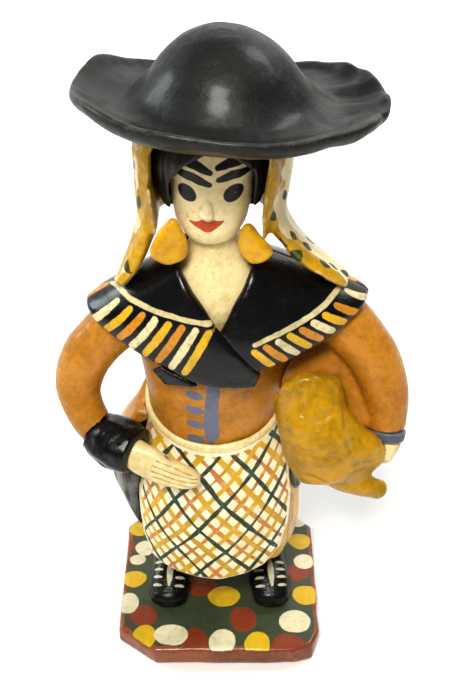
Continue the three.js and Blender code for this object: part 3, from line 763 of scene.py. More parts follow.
PEPLUM_RINGS = [
    [84, -1.8, 2.6, 37.4, 27],
    [91, -1.6, 2.4, 34.4, 24.6],
    [99, -1.2, 2, 30, 21.4],
    [107, -1, 1.4, 26.6, 18.9],
    [117, -0.9, 1.2, 26, 18.4],
]
PEPLUM_WALLS = [2.8, 3.4, 6.4, 6, 6]
PEPLUM_OUTSIDE = stack(PEPLUM_RINGS, 1.2)
PEPLUM_INSIDE = stack(
    [[80, -1.8, 2.6, 35.6, 25.4]]
    + [[z, x, y, w - wall, d - wall] for (z, x, y, w, d), wall in zip(PEPLUM_RINGS, PEPLUM_WALLS)]
    + [[122, -0.9, 1.2, 20, 12.4]]
)
PEPLUM_SIDE = side_view([[-5, 108], [-4, 96], [-1, 84], [6, 83], [40, 83], [40, 120], [0, 120]])


def peplum(x, y, z):
    flutes = 0.5 * np.sin(11 * bearing(x, y)) * smoothstep(104, 86, z)
    outside = PEPLUM_OUTSIDE(x, y, z) + flutes + lumps(x, y, z, 55, 0.25)
    shell = without(outside, PEPLUM_INSIDE(x, y, z) + flutes, 0.8)
    shell = both(shell, PEPLUM_SIDE(x, y, z), 1.5)
    shell = both(shell, z - string_height(y) + 0.6, 0.6)
    shell = without(shell, apron_room(x, y, z), 0.4)
    return without(shell, BODICE(x, y, z) - 0.1, 0.4)


DRAPE_RINGS = [
    [41, 0.2, 4, 31.8, 23.8],
    [48, -1.2, 4.6, 33.4, 25.4],
    [58, -2.8, 4.8, 35.2, 26.8],
    [68, -4, 4.6, 36, 26.8],
    [79, -3.6, 3.6, 34.2, 25],
    [91, -2.2, 2.4, 28.8, 20.4],
]
DRAPE_OUTSIDE = stack(DRAPE_RINGS, 2)
DRAPE_SIDE = side_view(
    [[-9, 92], [-8, 80], [-5.5, 60], [-3, 41], [4, 40], [14, 44], [24, 41], [40, 44], [40, 92], [0, 92]]
)
# Below the overskirt's hem, which rises from the middle of the back to her left.
UNDER_DRAPE_LEFT = front_view([[4, 30], [60, 30], [60, 67], [27, 63], [4, 41]])


def drape(x, y, z):
    turn = bearing(x, y)
    folds = 0.9 * np.sin(17 * turn + 1.2 * noise(x, y, z, 26, 61)) * smoothstep(44, 80, z)
    outside = DRAPE_OUTSIDE(x, y, z) + folds + lumps(x, y, z, 62, 0.3)
    shell = without(outside, SKIRT_CORE(x, y, z) - 0.15, 0.8)
    shell = both(shell, DRAPE_SIDE(x, y, z), 2)
    shell = without(shell, UNDER_DRAPE_LEFT(x, y, z) + 0.4 * noise(x, y, z, 7, 63), 1.4)
    shell = without(shell, apron_room(x, y, z), 0.6)
    return without(shell, PEPLUM_OUTSIDE(x, y, z) + PEPLUM_SIDE(x, y, z).clip(0, 1) * 4 - 0.3, 0.6)


def waistband(x, y, z):
    reach = np.sqrt(((x + 1) / 24) ** 2 + ((y - 1) / 17) ** 2)
    radius = np.sqrt((x + 1) ** 2 + (y - 1) ** 2)
    out = (reach - 1) * radius / np.maximum(reach, 0.2)
    rise = z - 104.9 - 11.1 * (y - 1) / 17
    thick = 1.1 + 0.15 * noise(x, y, z, 6, 65)
    return np.sqrt(out**2 + (rise / 1.3) ** 2) - thick


# ------------------------------------------------------------------ arms and hands

SLEEVE_RIGHT = [
    [[-24, 2, 147], 8.5, 8.5],
    [[-34, 0.5, 137], 9.4, 9],
    [[-45, -1, 124], 9, 8.6],
    [[-49, -3, 112], 8, 7.8],
    [[-46.4, -7, 103.2], 7.2, 7],
    [[-42.4, -9.4, 97.4], 6.6, 6.4],
]
SLEEVE_LEFT = [
    [[32, 2, 147], 8.5, 8.5],
    [[42.6, 1, 138], 10.2, 9.6],
    [[53.6, -2, 125], 9.8, 9],
    [[59, -6, 111.4], 8.8, 8.2],
    [[60.2, -10, 100.8], 7, 6.8],
]
SLEEVE_LEFT_INNER = [
    [[37, 4, 139], 8, 8],
    [[43.6, 5, 127], 9, 8.6],
    [[47.6, 2, 113], 8.8, 8.6],
    [[52.4, -6.5, 100.5], 7, 7],
]
GUSSET_LEFT = [
    [[28, 1, 119], 11, 12],
    [[45, 5, 121.6], 9, 8.8],
]
CUFF_RIGHT = [
    [[-43, -9, 96.6], 7.6, 7.2],
    [[-38.6, -11.6, 95.2], 9.6, 9],
    [[-32.6, -15.2, 94.4], 9.8, 9.2],
    [[-28.8, -17.4, 94], 9, 8.4],
]
WRISTBAND_LEFT = [
    [[60.2, -11.2, 98.8], 6.9, 6.6],
    [[60, -12.4, 96], 6.6, 6.3],
]
HAND_RIGHT = [
    [[-30, -17.6, 93.6], 5, 6],
    [[-23.6, -20.6, 91.4], 4, 6.6],
    [[-17, -22.8, 89], 3, 6.2],
    [[-10.4, -24, 87.4], 2.4, 5],
    [[-7.4, -24.2, 86.8], 1.6, 3.4],
]
HAND_LEFT = [
    [[60, -13.2, 94.6], 5, 5],
    [[58.8, -15.6, 91], 4.6, 3.6],
]
SLEEVE_PARTS = {
    "right": [limb(SLEEVE_RIGHT, ends=0.6)],
    "left": [limb(SLEEVE_LEFT, ends=0.6), limb(SLEEVE_LEFT_INNER, ends=0.6), limb(GUSSET_LEFT)],
}
CUFF = limb(CUFF_RIGHT, ends=0.15)
WRISTBAND = limb(WRISTBAND_LEFT, ends=0.12)
HAND = limb(HAND_RIGHT)


def bare_sleeve(side, x, y, z):
    arm = FAR
    for part in SLEEVE_PARTS[side]:
        arm = either(arm, part(x, y, z), 1.6)
    return arm


def sleeve(side):
    def field(x, y, z):
        arm = bare_sleeve(side, x, y, z) + lumps(x, y, z, 71, 0.4, 0.12)
        arm = without(arm, BODICE(x, y, z) - 0.1, 0.4)
        arm = without(arm, covered_by_shawl(x, y, z), 0.5)
        if side == "right":
            return without(arm, CUFF(x, y, z) - 0.1, 0.4)
        return without(arm, WRISTBAND(x, y, z) - 0.1, 0.4)

    return field


def cuff(x, y, z):
    crumple = 0.5 * noise(x, y, z, 3.4, 74) + 0.35 * noise(x, y, z, 8, 75)
    band = CUFF(x, y, z) + crumple
    band = without(band, HAND(x, y, z) - 0.2, 0.6)
    band = without(band, APRON_SKIN(x, y, z) - 2.2, 0.4)
    return without(band, waistband(x, y, z) - 0.3, 0.3)


def wristband(x, y, z):
    return WRISTBAND(x, y, z) + 0.2 * noise(x, y, z, 5, 76)


# Grooves of the hand as (x, z) points, cut only in front of HAND_FRONT.
FINGER_LINES = [
    [(-21, 95), (-14.5, 92.6), (-8.2, 89.6)],
    [(-22, 93), (-15, 90.4), (-6.8, 87.8)],
    [(-22.6, 90.8), (-15.5, 88.2), (-7, 86)],
    [(-22, 88.2), (-16, 86), (-9, 84.2)],
]
THUMB_LINE = [[(-19.4, 97), (-15, 94.6)]]
HAND_FRONT = -18


def hand_right(x, y, z):
    palm = HAND(x, y, z) + 0.15 * noise(x, y, z, 6, 77)
    front = y < HAND_FRONT
    cuts = np.exp(-((front_strokes(x, z, FINGER_LINES, 0) / 0.45) ** 2)) * front
    gap = np.exp(-((front_strokes(x, z, THUMB_LINE, 0) / 0.7) ** 2)) * front
    return palm + 0.75 * cuts + 1.3 * gap


# Painted shade: the finger grooves are darkened along their lines, and the gap by the thumb is painted
# near black.
def hand_marks(x, y, z, facing):
    return {
        "line": np.maximum(front_strokes(x, z, FINGER_LINES, 0.15), y - HAND_FRONT),
        "thumb": np.maximum(front_strokes(x, z, THUMB_LINE, 0.6, 0.4), y - HAND_FRONT),
    }


HAND_LEFT_FIELD = limb(HAND_LEFT)


def hand_left(x, y, z):
    palm = HAND_LEFT_FIELD(x, y, z) + 0.15 * noise(x, y, z, 5, 78)
    return without(palm, WRISTBAND(x, y, z) - 0.1, 0.3)


# ------------------------------------------------------------------ head

NECK_RINGS = [
    [143, 1, -6, 5, 9],
    [150, 1, -5, 10, 11],
    [158, 0.6, -3, 14, 11.5],
    [165, 0.3, -1.5, 12.5, 10],
    [170, 0, -1, 9, 8.6],
    [180, -0.8, -1, 8, 8],
]
HEAD_RINGS = [
    [173.4, -1.4, -6.4, 3, 3],
    [175, -1.4, -5.6, 6.4, 5.8],
    [179, -1.3, -3.6, 10.2, 9.9],
    [185.5, -1.1, -1.8, 12.3, 12.1],
    [194, -1, -1, 13, 13],
    [203, -0.8, -0.6, 12.8, 13],
    [209, -0.6, 0, 10.6, 11],
    [213, -0.5, 0, 5, 5.5],
]
HAIR_RINGS = [
    [181, -1.2, 1.5, 14.8, 12],
    [187, -1.4, 0.6, 16.8, 14.4],
    [196, -1.5, 0, 17.9, 15.6],
    [205, -1.2, 0.2, 17.2, 15.2],
    [211, -0.3, 0.5, 13.2, 13],
    [215.5, -0.2, 0.5, 6, 6],
]
NECK = stack(NECK_RINGS, 2)
HEAD = stack(HEAD_RINGS, 2)
HAIR = stack(HAIR_RINGS, 2)
FACE_EDGE = front_view(
    rounded(
        [
            [-12.6, 170], [-13.4, 190], [-13, 197], [-8, 203], [0, 207], [7, 204], [12, 198],
            [11.6, 188], [11, 170],
        ]
    )
)
NOSE = limb(
    [
        [[-1.9, -13.4, 191], 1.2, 1.1],
        [[-2.2, -14.7, 188.8], 1.9, 1.6],
        [[-2.4, -15.2, 187.4], 2.4, 1.7],
    ],
    across=(1, 0, 0),
)


def neck(x, y, z):
    return without(NECK(x, y, z) + lumps(x, y, z, 81, 0.25, 0.1), HEAD(x, y, z) - 0.1, 0.3)


def head(x, y, z):
    return HEAD(x, y, z) + 0.15 * noise(x, y, z, 8, 82)


def nose(x, y, z):
    return without(NOSE(x, y, z), HEAD(x, y, z) + 0.6)


EYES = [(-8.2, 193.3, 2.8, 2.8, 0.15), (5.8, 193.3, 3.05, 2.9, -0.12)]
LOWER_BROWS = [[(-12, 199.5), (-6.5, 199), (-1.5, 197)], [(1.5, 198.5), (5.5, 199.5), (10.5, 199)]]
UPPER_BROWS = [[(0.8 * x, z + 3.8) for x, z in line] for line in LOWER_BROWS]
BROWS = LOWER_BROWS + UPPER_BROWS
MOUTH = [
    [-8, 184], [-5.4, 184.2], [-3.6, 184.9], [-2, 184.2], [-0.4, 185], [1.2, 184.5], [3.2, 184.6],
    [1, 182.4], [-2, 180.6], [-5, 182],
]


def head_marks(x, y, z, facing):
    front = y + 4
    eyes = FAR
    for cx, cz, wide, tall, tilt in EYES:
        u = (x - cx) + tilt * (z - cz)
        v = z - cz
        reach = np.sqrt((u / wide) ** 2 + (v / tall) ** 2)
        eyes = np.minimum(eyes, (reach - 1) * wide)
    brow = front_strokes(x, z, BROWS, 1.5, 0.4)
    mouth = inside(rounded(MOUTH, 3), x, z)
    return {
        "eye": np.maximum(eyes, front),
        "brow": np.maximum(brow, front),
        "mouth": np.maximum(mouth, front),
    }


def hair(x, y, z):
    strands = 0.14 * np.sin(30 * bearing(x, y, -0.6, 0)) * smoothstep(214, 204, z)
    cap = HAIR(x, y, z) + strands + lumps(x, y, z, 84, 0.3, 0.15)
    cap = without(cap, HEAD(x, y, z) - 0.15, 0.4)
    opening = np.maximum(FACE_EDGE(x, y, z), y + 2)
    cap = without(cap, opening + 0.4 * noise(x, y, z, 4, 86), 1.6)
    locks = z - 184 - 0.9 * (np.abs(x + 0.6) - 11.5)
    cap = without(cap, np.maximum(locks, y - 3), 1)
    return without(cap, NECK(x, y, z) - 0.2, 0.4)


# ------------------------------------------------------------------ headscarf

SCARF_RINGS = [
    [176, -0.8, 3, 22.4, 19],
    [186, -1.1, 2, 23.8, 19.4],
    [198, -0.5, 1.5, 24.3, 20],
    [206, 0, 1.5, 23.4, 19.6],
    [214, 0.4, 1.5, 19, 17],
]
SCARF_OUTSIDE = stack(SCARF_RINGS, 1.6)
SCARF_INSIDE = stack(
    [[170, -0.8, 3, 18.6, 15.4]]
    + [[z, x, y, w - 3.4, d - 3.4] for z, x, y, w, d in SCARF_RINGS]
    + [[220, 0.4, 1.5, 14, 12]]
)
SCARF_FRONT = front_view(
    [[-18, 170], [-19.4, 188], [-19.4, 204], [-14, 216], [13, 216], [16.8, 204], [14.8, 184], [15.4, 170]]
)
LAPPETS = [
    limb(
        [
            [[-22.4, 1.5, 203], 8, 2.8],
            [[-21, 2, 190], 9.4, 3.2],
            [[-21.8, 1, 177], 9, 3.4],
            [[-26.4, -3, 165], 7, 3],
            [[-30.6, -5.5, 158.4], 4.4, 2],
        ]
    ),
    limb(
        [
            [[20.6, 1.5, 201], 8, 3.6],
            [[18.8, 0.5, 187], 8.4, 3.8],
            [[20.4, -0.5, 178], 8.4, 3.6],
            [[26.4, -1.5, 169.4], 8.4, 3],
            [[34.4, -2, 162.4], 8, 2.4],
            [[41.6, -1, 156.8], 5, 1.8],
        ]
    ),
]


def headscarf(x, y, z):
    cap = without(SCARF_OUTSIDE(x, y, z), SCARF_INSIDE(x, y, z), 1)
    cap = without(cap, np.maximum(SCARF_FRONT(x, y, z), y - 1), 1)
    for lappet in LAPPETS:
        cap = either(cap, lappet(x, y, z), 1.2)
    folds = 0.4 * np.sin(1.1 * (y + 3 * noise(x, y, z, 18, 91)) + 0.12 * z)
    cap = cap + folds * smoothstep(2, -6, y) + lumps(x, y, z, 92, 0.3, 0.15)
    cap = without(cap, HAIR(x, y, z) - 0.2, 0.4)
    return without(cap, cape(x, y, z) - 1.1, 0.4)


# Leaves on the back of the scarf: angle from the back in radians, and height.
REAR_LEAVES = [
    (-1.1, 198), (-0.55, 188), (-0.1, 202), (0.35, 186), (0.8, 198), (1.2, 184), (-0.8, 180)
]
WHITE_PATCHES = [
    [(-24.6, -5, 199), (-24.8, -5, 191)],
    [(-26, -4.6, 180), (-26.4, -4.4, 177)],
    [(-30.4, -8.6, 164), (-33.4, -7, 158.4)],
]


def scarf_marks(x, y, z, facing):
    middle = spline([156.8, 162.4, 169.4, 178, 187, 201], [41.6, 34.4, 26.4, 20.4, 18.8, 20.6], z)
    hanging = smoothstep(172, 179, z)
    outer = hanging * (middle + 1.0 - x) + (1 - hanging) * (-y - 5.5)
    outer = np.where(x > 0, outer, FAR)
    back = 1.2 - y + 3.5 * noise(x, y, z, 12, 94)
    white = np.minimum(strokes(x, y, z, WHITE_PATCHES, 2.3, 0.2, facing), np.minimum(outer, back))
    white = white + 2.2 * noise(x, y, z, 4.5, 93)
    leaves = [
        [(19.4, -9.4, 197.5), (20, -9.2, 194.4)],
        [(17.4, -9.4, 185.4), (18.4, -9, 182)],
        [(24.4, -9.4, 171.6), (26.6, -9.2, 168.4)],
        [(33.6, -6.8, 166), (36.2, -6.2, 163.4)],
        [(41.4, -2.6, 159.8), (43.6, -1.6, 157)],
        [(-23.2, -5.6, 188.4), (-24, -5, 184.4)],
        [(-28.6, -8, 167), (-27.6, -8.2, 163.6)],
        [(-24.6, -3, 199), (-25, -1, 195.6)],
        [(25.4, -1.5, 190), (25, -0.5, 186.4)],
        [(-26, 0, 178.6), (-26.8, 0, 175)],
        [(30, 0, 171.4), (32.4, 1, 169)],
        [(28.4, -5, 171.6), (30.6, -4.6, 169.4)],
        [(37, -4, 163.4), (39.4, -3.6, 161.4)],
        [(23.6, -6.6, 176.4), (24.6, -6.2, 173.6)],
        [(22.6, -7.4, 190.6), (22.9, -7.2, 188)],
    ]
    rear = [
        [(22 * math.sin(turn + t), 1.5 + 20.5 * math.cos(turn + t), height - 33 * t) for t in (0, 0.12)]
        for turn, height in REAR_LEAVES
    ]
    return {"white": white, "leaf": strokes(x, y, z, leaves + rear, 1.25, 0.5, facing)}


EARRINGS = {
    "right": (
        [
            [-14, 184], [-18.5, 178], [-20, 173], [-15, 169.5], [-10.5, 171.5],
            [-10.5, 176], [-12, 180],
        ],
        0.35,
    ),
    "left": ([[10.6, 181], [8.8, 174.4], [12.8, 169.2], [18, 173.4], [13.2, 178.8]], -0.35),
}


def earring(side):
    outline, turn = EARRINGS[side]
    outline = rounded(outline)
    cosine, sine = math.cos(-turn), math.sin(-turn)

    def field(x, y, z):
        u = x * cosine - (y + 7) * sine
        v = x * sine + (y + 7) * cosine
        plan = inside(outline, u, z) - 1.2
        drop = both(plan, np.abs(v + 0.5) - 1.9, 2.6) + 0.3 * noise(x, y, z, 4, 95)
        for other in (NECK, HEAD, HAIR, *LAPPETS):
            drop = without(drop, other(x, y, z) - 0.2, 0.3)
        return without(drop, cape(x, y, z) - 1.1, 0.3)

    return field


# ------------------------------------------------------------------ hat

HAT_TOP = [
    [0, 237.4], [8, 236.1], [14.5, 232.7], [19.8, 227.8], [23.8, 222.2], [27.4, 218.2],
    [31.5, 216.1], [36.5, 215.7], [41.5, 216.9], [45.2, 219.2], [47.2, 219.9], [49, 219.6],
]
HAT_UNDERSIDE = [
    [0, 211.4], [20, 211.5], [30, 211.7], [38, 212.4], [43.5, 213.9], [47, 216], [49, 218.6],
]
HAT_RIM_LIFTS = [-1.4, -1, -6.4, -9.6, -5.2, 3.2, 3.6, 6.2, 6.2, 4.9, 3.4, 1.4]
HAT_RIM_RADIUS = 47.6


def hat(x, y, z):
    radius = np.hypot(x - 4.2, (y - 3))
    for _ in range(3):  # the middle moves with the distance, so the distance is found by turns
        share = smoothstep(24, 48, radius)
        cx = 3.2 + 1.5 * share
        cy = 5 - 3.5 * share
        depth = 1 - 0.06 * share
        radius = np.hypot(x - cx, (y - cy) / depth)
    angle = np.arctan2((y - cy) / depth, x - cx) % (2 * math.pi)
    turns = np.arange(-2, 15) * math.pi / 6
    lifts = np.array([HAT_RIM_LIFTS[i % 12] for i in range(-2, 15)], float)
    share = smoothstep(24, 48, radius)
    wrinkled = smoothstep(26, 40, x)
    ripple = 0.5 * np.sin(7 * angle + 1) * share + 1.1 * wrinkled * noise(x, y, z, 7, 103)
    lift = share * spline(turns, lifts, angle) + ripple
    top = spline(*np.array(HAT_TOP).T, radius) + lift
    underside = spline(*np.array(HAT_UNDERSIDE).T, radius) + lift
    steep = 1 / np.sqrt(1 + 1.1 * smoothstep(10, 18, radius) * smoothstep(31, 25, radius))
    body = both((z - top) * steep, underside - z, 2.6)
    rim = radius - HAT_RIM_RADIUS + 0.4 * noise(x, y, z, 9, 101)
    body = both(body, rim + 0 * z, 3.2)
    body = body + 1.6 * np.exp(-((x - 49.5) ** 2 + (y + 13) ** 2 + (z - 219.5) ** 2) / 9)
    body = body + lumps(x, y, z, 102, 0.45, 0.12)
    body = without(body, SCARF_OUTSIDE(x, y, z) - 0.2, 0.4)
    return without(body, HAIR(x, y, z) - 0.2, 0.4)


# ------------------------------------------------------------------ shawl

CAPE_RINGS = [
    [117, 0.8, 1, 28, 22],
    [120, 1, 1, 31, 22.5],
    [128, 2, 1, 36, 23],
    [136, 3, 1, 42, 23.2],
    [143, 3.6, 1, 46, 22.6],
    [149, 3.7, 1, 47.3, 21],
    [155, 3, 1, 38, 19],
    [161, 1.6, 0.4, 27, 16.6],
    [167, 0.7, -0.6, 16.6, 13.6],
    [171, 0.4, -1, 12.8, 11.6],
]
CAPE_BODY = stack(CAPE_RINGS, 1.5)
CAPE_LEAN = -math.atan(0.034)
SHAWL_THICKNESS = 2.4
SHAWL_SPLIT_Y = 2.0
SHAWL_RIGHT_OUTLINE = [
    [-10.6, 180], [-12.4, 167], [1.6, 147], [15, 131], [12.8, 125.6], [-1, 126.2], [-8.6, 128.2],
    [-17.4, 132.8], [-31.5, 139], [-40, 143.2], [-46, 148], [-60, 158], [-60, 180],
]
SHAWL_LEFT_OUTLINE = [
    [10.6, 180], [12, 166.5], [1, 146.4], [12.4, 131.4], [24.4, 134.8], [34, 139], [43, 144],
    [52, 149.4], [66, 160], [66, 180],
]
SHAWL_BACK_OUTLINE = [
    [-60, 180], [-60, 152], [-44, 147], [-26, 136], [-10, 127], [2, 122], [14, 127], [30, 136],
    [50, 147], [66, 152], [66, 180],
]
SHAWL_TAIL_OUTLINE = [
    [-21.4, 128.6], [-17.6, 123.4], [-6, 125.6], [-9, 128.2], [-17.6, 132.2],
]
SHAWL_RIGHT_FRONT = front_view(SHAWL_RIGHT_OUTLINE)
SHAWL_LEFT_FRONT = front_view(SHAWL_LEFT_OUTLINE)
SHAWL_BACK_FRONT = front_view(SHAWL_BACK_OUTLINE)
SHAWL_TAIL_FRONT = front_view(SHAWL_TAIL_OUTLINE)


def cape_place(x, y, z):
    """Places in the shawl's own frame, before it leans to her right."""
    shifted_x, shifted_z = x - 5, z + 1.4
    return (
        math.cos(CAPE_LEAN) * shifted_x - math.sin(CAPE_LEAN) * shifted_z,
        y,
        math.sin(CAPE_LEAN) * shifted_x + math.cos(CAPE_LEAN) * shifted_z,
    )


def cape(x, y, z):
    """The shoulders as the shawl wraps them."""
    return CAPE_BODY(*cape_place(x, y, z))


def covered_by_shawl(x, y, z):
    front = np.minimum(SHAWL_RIGHT_FRONT(x, y, z), SHAWL_LEFT_FRONT(x, y, z))
    front = np.maximum(front, y - SHAWL_SPLIT_Y)
    back = np.maximum(SHAWL_BACK_FRONT(x, y, z), SHAWL_SPLIT_Y - y)
    return np.maximum(np.minimum(front, back), -cape(x, y, z) - SHAWL_THICKNESS - 0.2)


def shawl_piece(outline, over, thickness, front, edge=2.0):
    """A part of the shawl: a shell over the shoulders, cut by a front-view outline."""

    def field(x, y, z):
        skin = cape(x, y, z) + lumps(x, y, z, 111, 0.35, 0.15)
        shell = both(skin - over, -(skin - over) - thickness, 0.6)
        edge_gap = outline(x, y, z) + 0.3 * noise(x, y, z, 5, 113)
        shell = both(shell, edge_gap, edge)
        half = y - SHAWL_SPLIT_Y + 0.05 if front else SHAWL_SPLIT_Y + 0.05 - y
        shell = both(shell, half + 0 * skin)
        shell = without(shell, NECK(x, y, z) - 0.2, 0.3)
        return without(shell, BODICE(x, y, z) - 0.2, 0.3)

    return field


FRINGE_STROKES = 9
BORDER_ABOVE = 2.6  # height of the shawl's painted border over the tops of its fringe, mm
# The fringe of each front half: its first and last stroke from the hem up, and its colours.
FRONT_FRINGES = [
    ([(-44, 146.5), (-36, 152)], [(-10, 132.5), (-2, 147.5)], ("orange", "cream", "yellow")),
    ([(18.5, 134.5), (12.5, 140.5)], [(50, 149.5), (43, 153)], ("yellow", "orange", "cream")),
]


def front_fringe():
    """Strokes spaced evenly along the hem of each front half, their colours in turn."""
    found = {"cream": [], "yellow": [], "orange": []}
    for first, last, colours in FRONT_FRINGES:
        for index, share in enumerate(np.linspace(0, 1, FRINGE_STROKES)):
            line = (1 - share) * np.array(first) + share * np.array(last)
            found[colours[index % 3]].append([tuple(point) for point in line])
    return {key: laid_on(cape, lines, 1) for key, lines in found.items()}


FRONT_FRINGE = front_fringe()
SHAWL_BORDERS = laid_on(
    cape,
    [[(x, z + BORDER_ABOVE) for x, z in (first[1], last[1])] for first, last, _ in FRONT_FRINGES],
    1,
)


def back_fringe():
    """The fringe strokes of the back, in turn cream, yellow and orange."""
    found = {"cream": [], "yellow": [], "orange": []}
    colours = itertools.cycle(found)
    for side in (-1, 1):
        for share in np.linspace(0.08, 0.98, 9):
            low_x = 2 + side * 46 * share
            low_z = 124 + 23 * share + (1.5 if side > 0 else -0.5)
            high = (low_x * 0.8, low_z + 9)
            found[next(colours)].append([(low_x, low_z + 2), high])
    return found


BACK_FRINGE = back_fringe()
BACK_BORDER = [[(-40, 157), (2, 137), (42, 158)]]


def shawl_marks(x, y, z, facing):
    if np.mean(y) < SHAWL_SPLIT_Y:
        found = {
            key: strokes(x, y, z, lines, 1.35, 0.15, facing) for key, lines in FRONT_FRINGE.items()
        }
        return {"line": strokes(x, y, z, SHAWL_BORDERS, 0.95, 0.15, facing), **found}
    found = {key: front_strokes(x, z, lines, 1.6, 0.15) for key, lines in BACK_FRINGE.items()}
    return {"line": front_strokes(x, z, BACK_BORDER, 1.1), **found}


# ------------------------------------------------------------------ bundle

SACK = limb(
    [
        [[28.5, -12, 125], 13, 9],
        [[31.5, -14, 117], 12, 10],
        [[33, -17, 109], 12.5, 11],
        [[36.5, -19, 100.5], 14, 11],
        [[41, -20.5, 92], 14, 8.5],
    ],
    across=(1, 0, 0),
    ends=0.45,
)
CORNER = limb([[[45, -18, 96], 9, 8], [[54, -17, 93.5], 7, 6]], across=(0, 0, 1))
TAIL = limb(
    [
        [[40, -22, 89], 6, 5],
        [[50.4, -22, 82.4], 4.4, 4],
        [[57, -21.4, 79.4], 3.8, 3.6],
    ],
    across=(0, 0, 1),
)


def sack_shape(x, y, z):
    """The bundle before its cloth is creased."""
    return either(either(SACK(x, y, z), CORNER(x, y, z), 7), TAIL(x, y, z), 5)


# Creases and pits pressed into the bundle, and a ridge that stands out of it.
BUNDLE_CREASES = laid_on(
    sack_shape,
    [
        [(28, 124), (29, 117)],
        [(29, 114), (38, 117)],
        [(28, 104), (40, 102)],
        [(46, 99), (53, 95)],
        [(32, 92), (46, 86)],
    ],
    1,
)
BUNDLE_RIDGES = laid_on(sack_shape, [[(40, 119), (42, 109), (46, 99)]], 1)
BUNDLE_PITS = laid_on(sack_shape, [[(36, 116), (37, 116)], [(33, 113), (34, 113)]], 1)
AROUND_BUNDLE = [
    BODICE, DRAPE_OUTSIDE, SKIRT_OUTSIDE, PEPLUM_OUTSIDE, waistband, WRISTBAND, HAND_LEFT_FIELD
]


def pressed(x, y, z, lines, width):
    """A groove of depth 1 and some width along lines, fading to 0."""
    return np.exp(-((strokes(x, y, z, lines, 0) / width) ** 2))


def bundle(x, y, z):
    crumple = 0.4 * noise(x, y, z, 7.5, 121) + 0.25 * noise(x, y, z, 3.2, 122)
    fold = z + 0.25 * (x - 30) + 0.5 * (y + 12) - 126.5  # the folded top, lower left and back
    sack = both(sack_shape(x, y, z), fold, 3) + crumple + lumps(x, y, z, 123, 0.4)
    sack = sack + 0.8 * pressed(x, y, z, BUNDLE_CREASES, 1.2)
    sack = sack - 1.8 * pressed(x, y, z, BUNDLE_RIDGES, 1.4)
    sack = sack + 0.8 * pressed(x, y, z, BUNDLE_PITS, 0.8)
    for other in AROUND_BUNDLE:
        sack = without(sack, other(x, y, z) - 0.2, 0.4)
    sack = without(sack, SLEEVE_PARTS["left"][0](x, y, z) - 0.2, 0.4)
    sack = without(sack, APRON_SKIN(x, y, z) - 2.1, 0.4)
    return without(sack, cape(x, y, z) - 1.1, 0.4)


# ------------------------------------------------------------------ the figure's paints

SLAB_PAINT = painted_clay(
    "slab_paint",
    "8a4b28",
    "683219",
    layers=[
        ("top", "3a4632", 0.8, 0.85),
        ("brick", "82361c", 0.9, 0.6),
        ("yellow", "c9a41c", 0.7, 0.85),
        ("cream", "d3caa8", 0.7, 0.85),
    ],
    roughness=0.33,
    coat=0.4,
    speck="3a1d14",
    wear_and_sheen="b56a48",
)
BLACK_PAINT = painted_clay(
    "black_paint",
    "0f0f10",
    "070708",
    layers=[("lace", "c2b99f", 0.4, 0.65)],
    roughness=0.28,
    coat=0.12,
    wear_and_sheen="3a3a38",
)
# The hat's light edge colour is a painted highlight along its proud rim and lumps.
HAT_PAINT = painted_clay(
    "hat_paint", "1c1d1b", "111210", roughness=0.46, coat=0.12, wear_and_sheen="56564e", grain=1.1
)
DRAPE_PAINT = painted_clay(
    "drape_paint", "7c7e7a", "1a1b1b", roughness=0.42, coat=0.2, stretch=(1, 1, 0.14)
)
SKIRT_PAINT = painted_clay(
    "skirt_paint",
    "dcaa18",
    "c28c12",
    layers=[("streak", "b97a14", 1.2, 0.4), ("hem", "e6d7ae", 0.6, 0.7)],
    roughness=0.36,
    stretch=(1, 1, 0.3),
)
APRON_PAINT = painted_clay(
    "apron_paint",
    "f6ebcb",
    "e6d5a8",
    layers=[
        ("orange", "c07a22", 0.5, 0.7),
        ("yellow", "cc9c10", 0.6, 0.8),
        ("green", "1c3826", 0.5, 0.9),
    ],
    roughness=0.42,
    coat=0.2,
)
CREAM_PAINT = painted_clay(
    "cream_paint",
    "e6d3a0",
    "cdb67c",
    # The hand's dark groove lines and thumb gap are painted shade in its recesses.
    layers=[("line", "8a774f", 0.3, 0.3), ("thumb", "241d14", 0.2, 0.9)],
    roughness=0.42,
    coat=0.2,
    speck="8d7a52",
)
FACE_PAINT = painted_clay(
    "face_paint",
    "f4e2b0",
    "dfcb96",
    layers=[("mouth", "be4818", 0.4, 0.9), ("brow", "0e0b08", 0.4, 1.0), ("eye", "0c0b0a", 0.4, 1.0)],
    roughness=0.4,
    coat=0.25,
    speck="a08c62",
)
ORANGE_PAINT = painted_clay(
    "orange_paint",
    "be8028",
    "a06a16",
    layers=[("blue", "666c80", 0.5, 0.85), ("button", "666c80", 0.5, 0.85)],
    roughness=0.42,
    coat=0.2,
    speck="6b3c16",
    wear_and_sheen="d9c096",
)
BLUE_PAINT = painted_clay("blue_paint", "565a6a", "474c5c", roughness=0.45, coat=0.15, wear_and_sheen="a9a792")
HAIR_PAINT = painted_clay(
    "hair_paint", "2a2019", "120e0b", roughness=0.42, coat=0.2, stretch=(1, 1, 0.3)
)
SCARF_PAINT = painted_clay(
    "scarf_paint",
    "c89a10",
    "a8800c",
    layers=[("white", "e4d6ac", 1.8, 0.75), ("leaf", "333f1a", 0.5, 0.9)],
    roughness=0.4,
    coat=0.25,
    wear_and_sheen="f0e2b8",
)
GOLD_PAINT = painted_clay("gold_paint", "d9a516", "ba820c", roughness=0.3, coat=0.25)
MUSTARD_PAINT = painted_clay(
    "mustard_paint", "b98a0c", "8f6a08", roughness=0.28, coat=0.25, speck="5f4208", grain=0.8
)
SHAWL_PAINT = painted_clay(
    "shawl_paint",
    "0e0e10",
    "060607",
    layers=[
        ("orange", "c58426", 0.7, 0.8),
        ("yellow", "d5a926", 0.7, 0.8),
        ("cream", "dacd9f", 0.8, 0.62),
        ("line", "cfc08f", 0.6, 0.7),
    ],
    roughness=0.24,
    coat=0.3,
    wear_and_sheen="54261e",
)

# ------------------------------------------------------------------ the figure's pieces

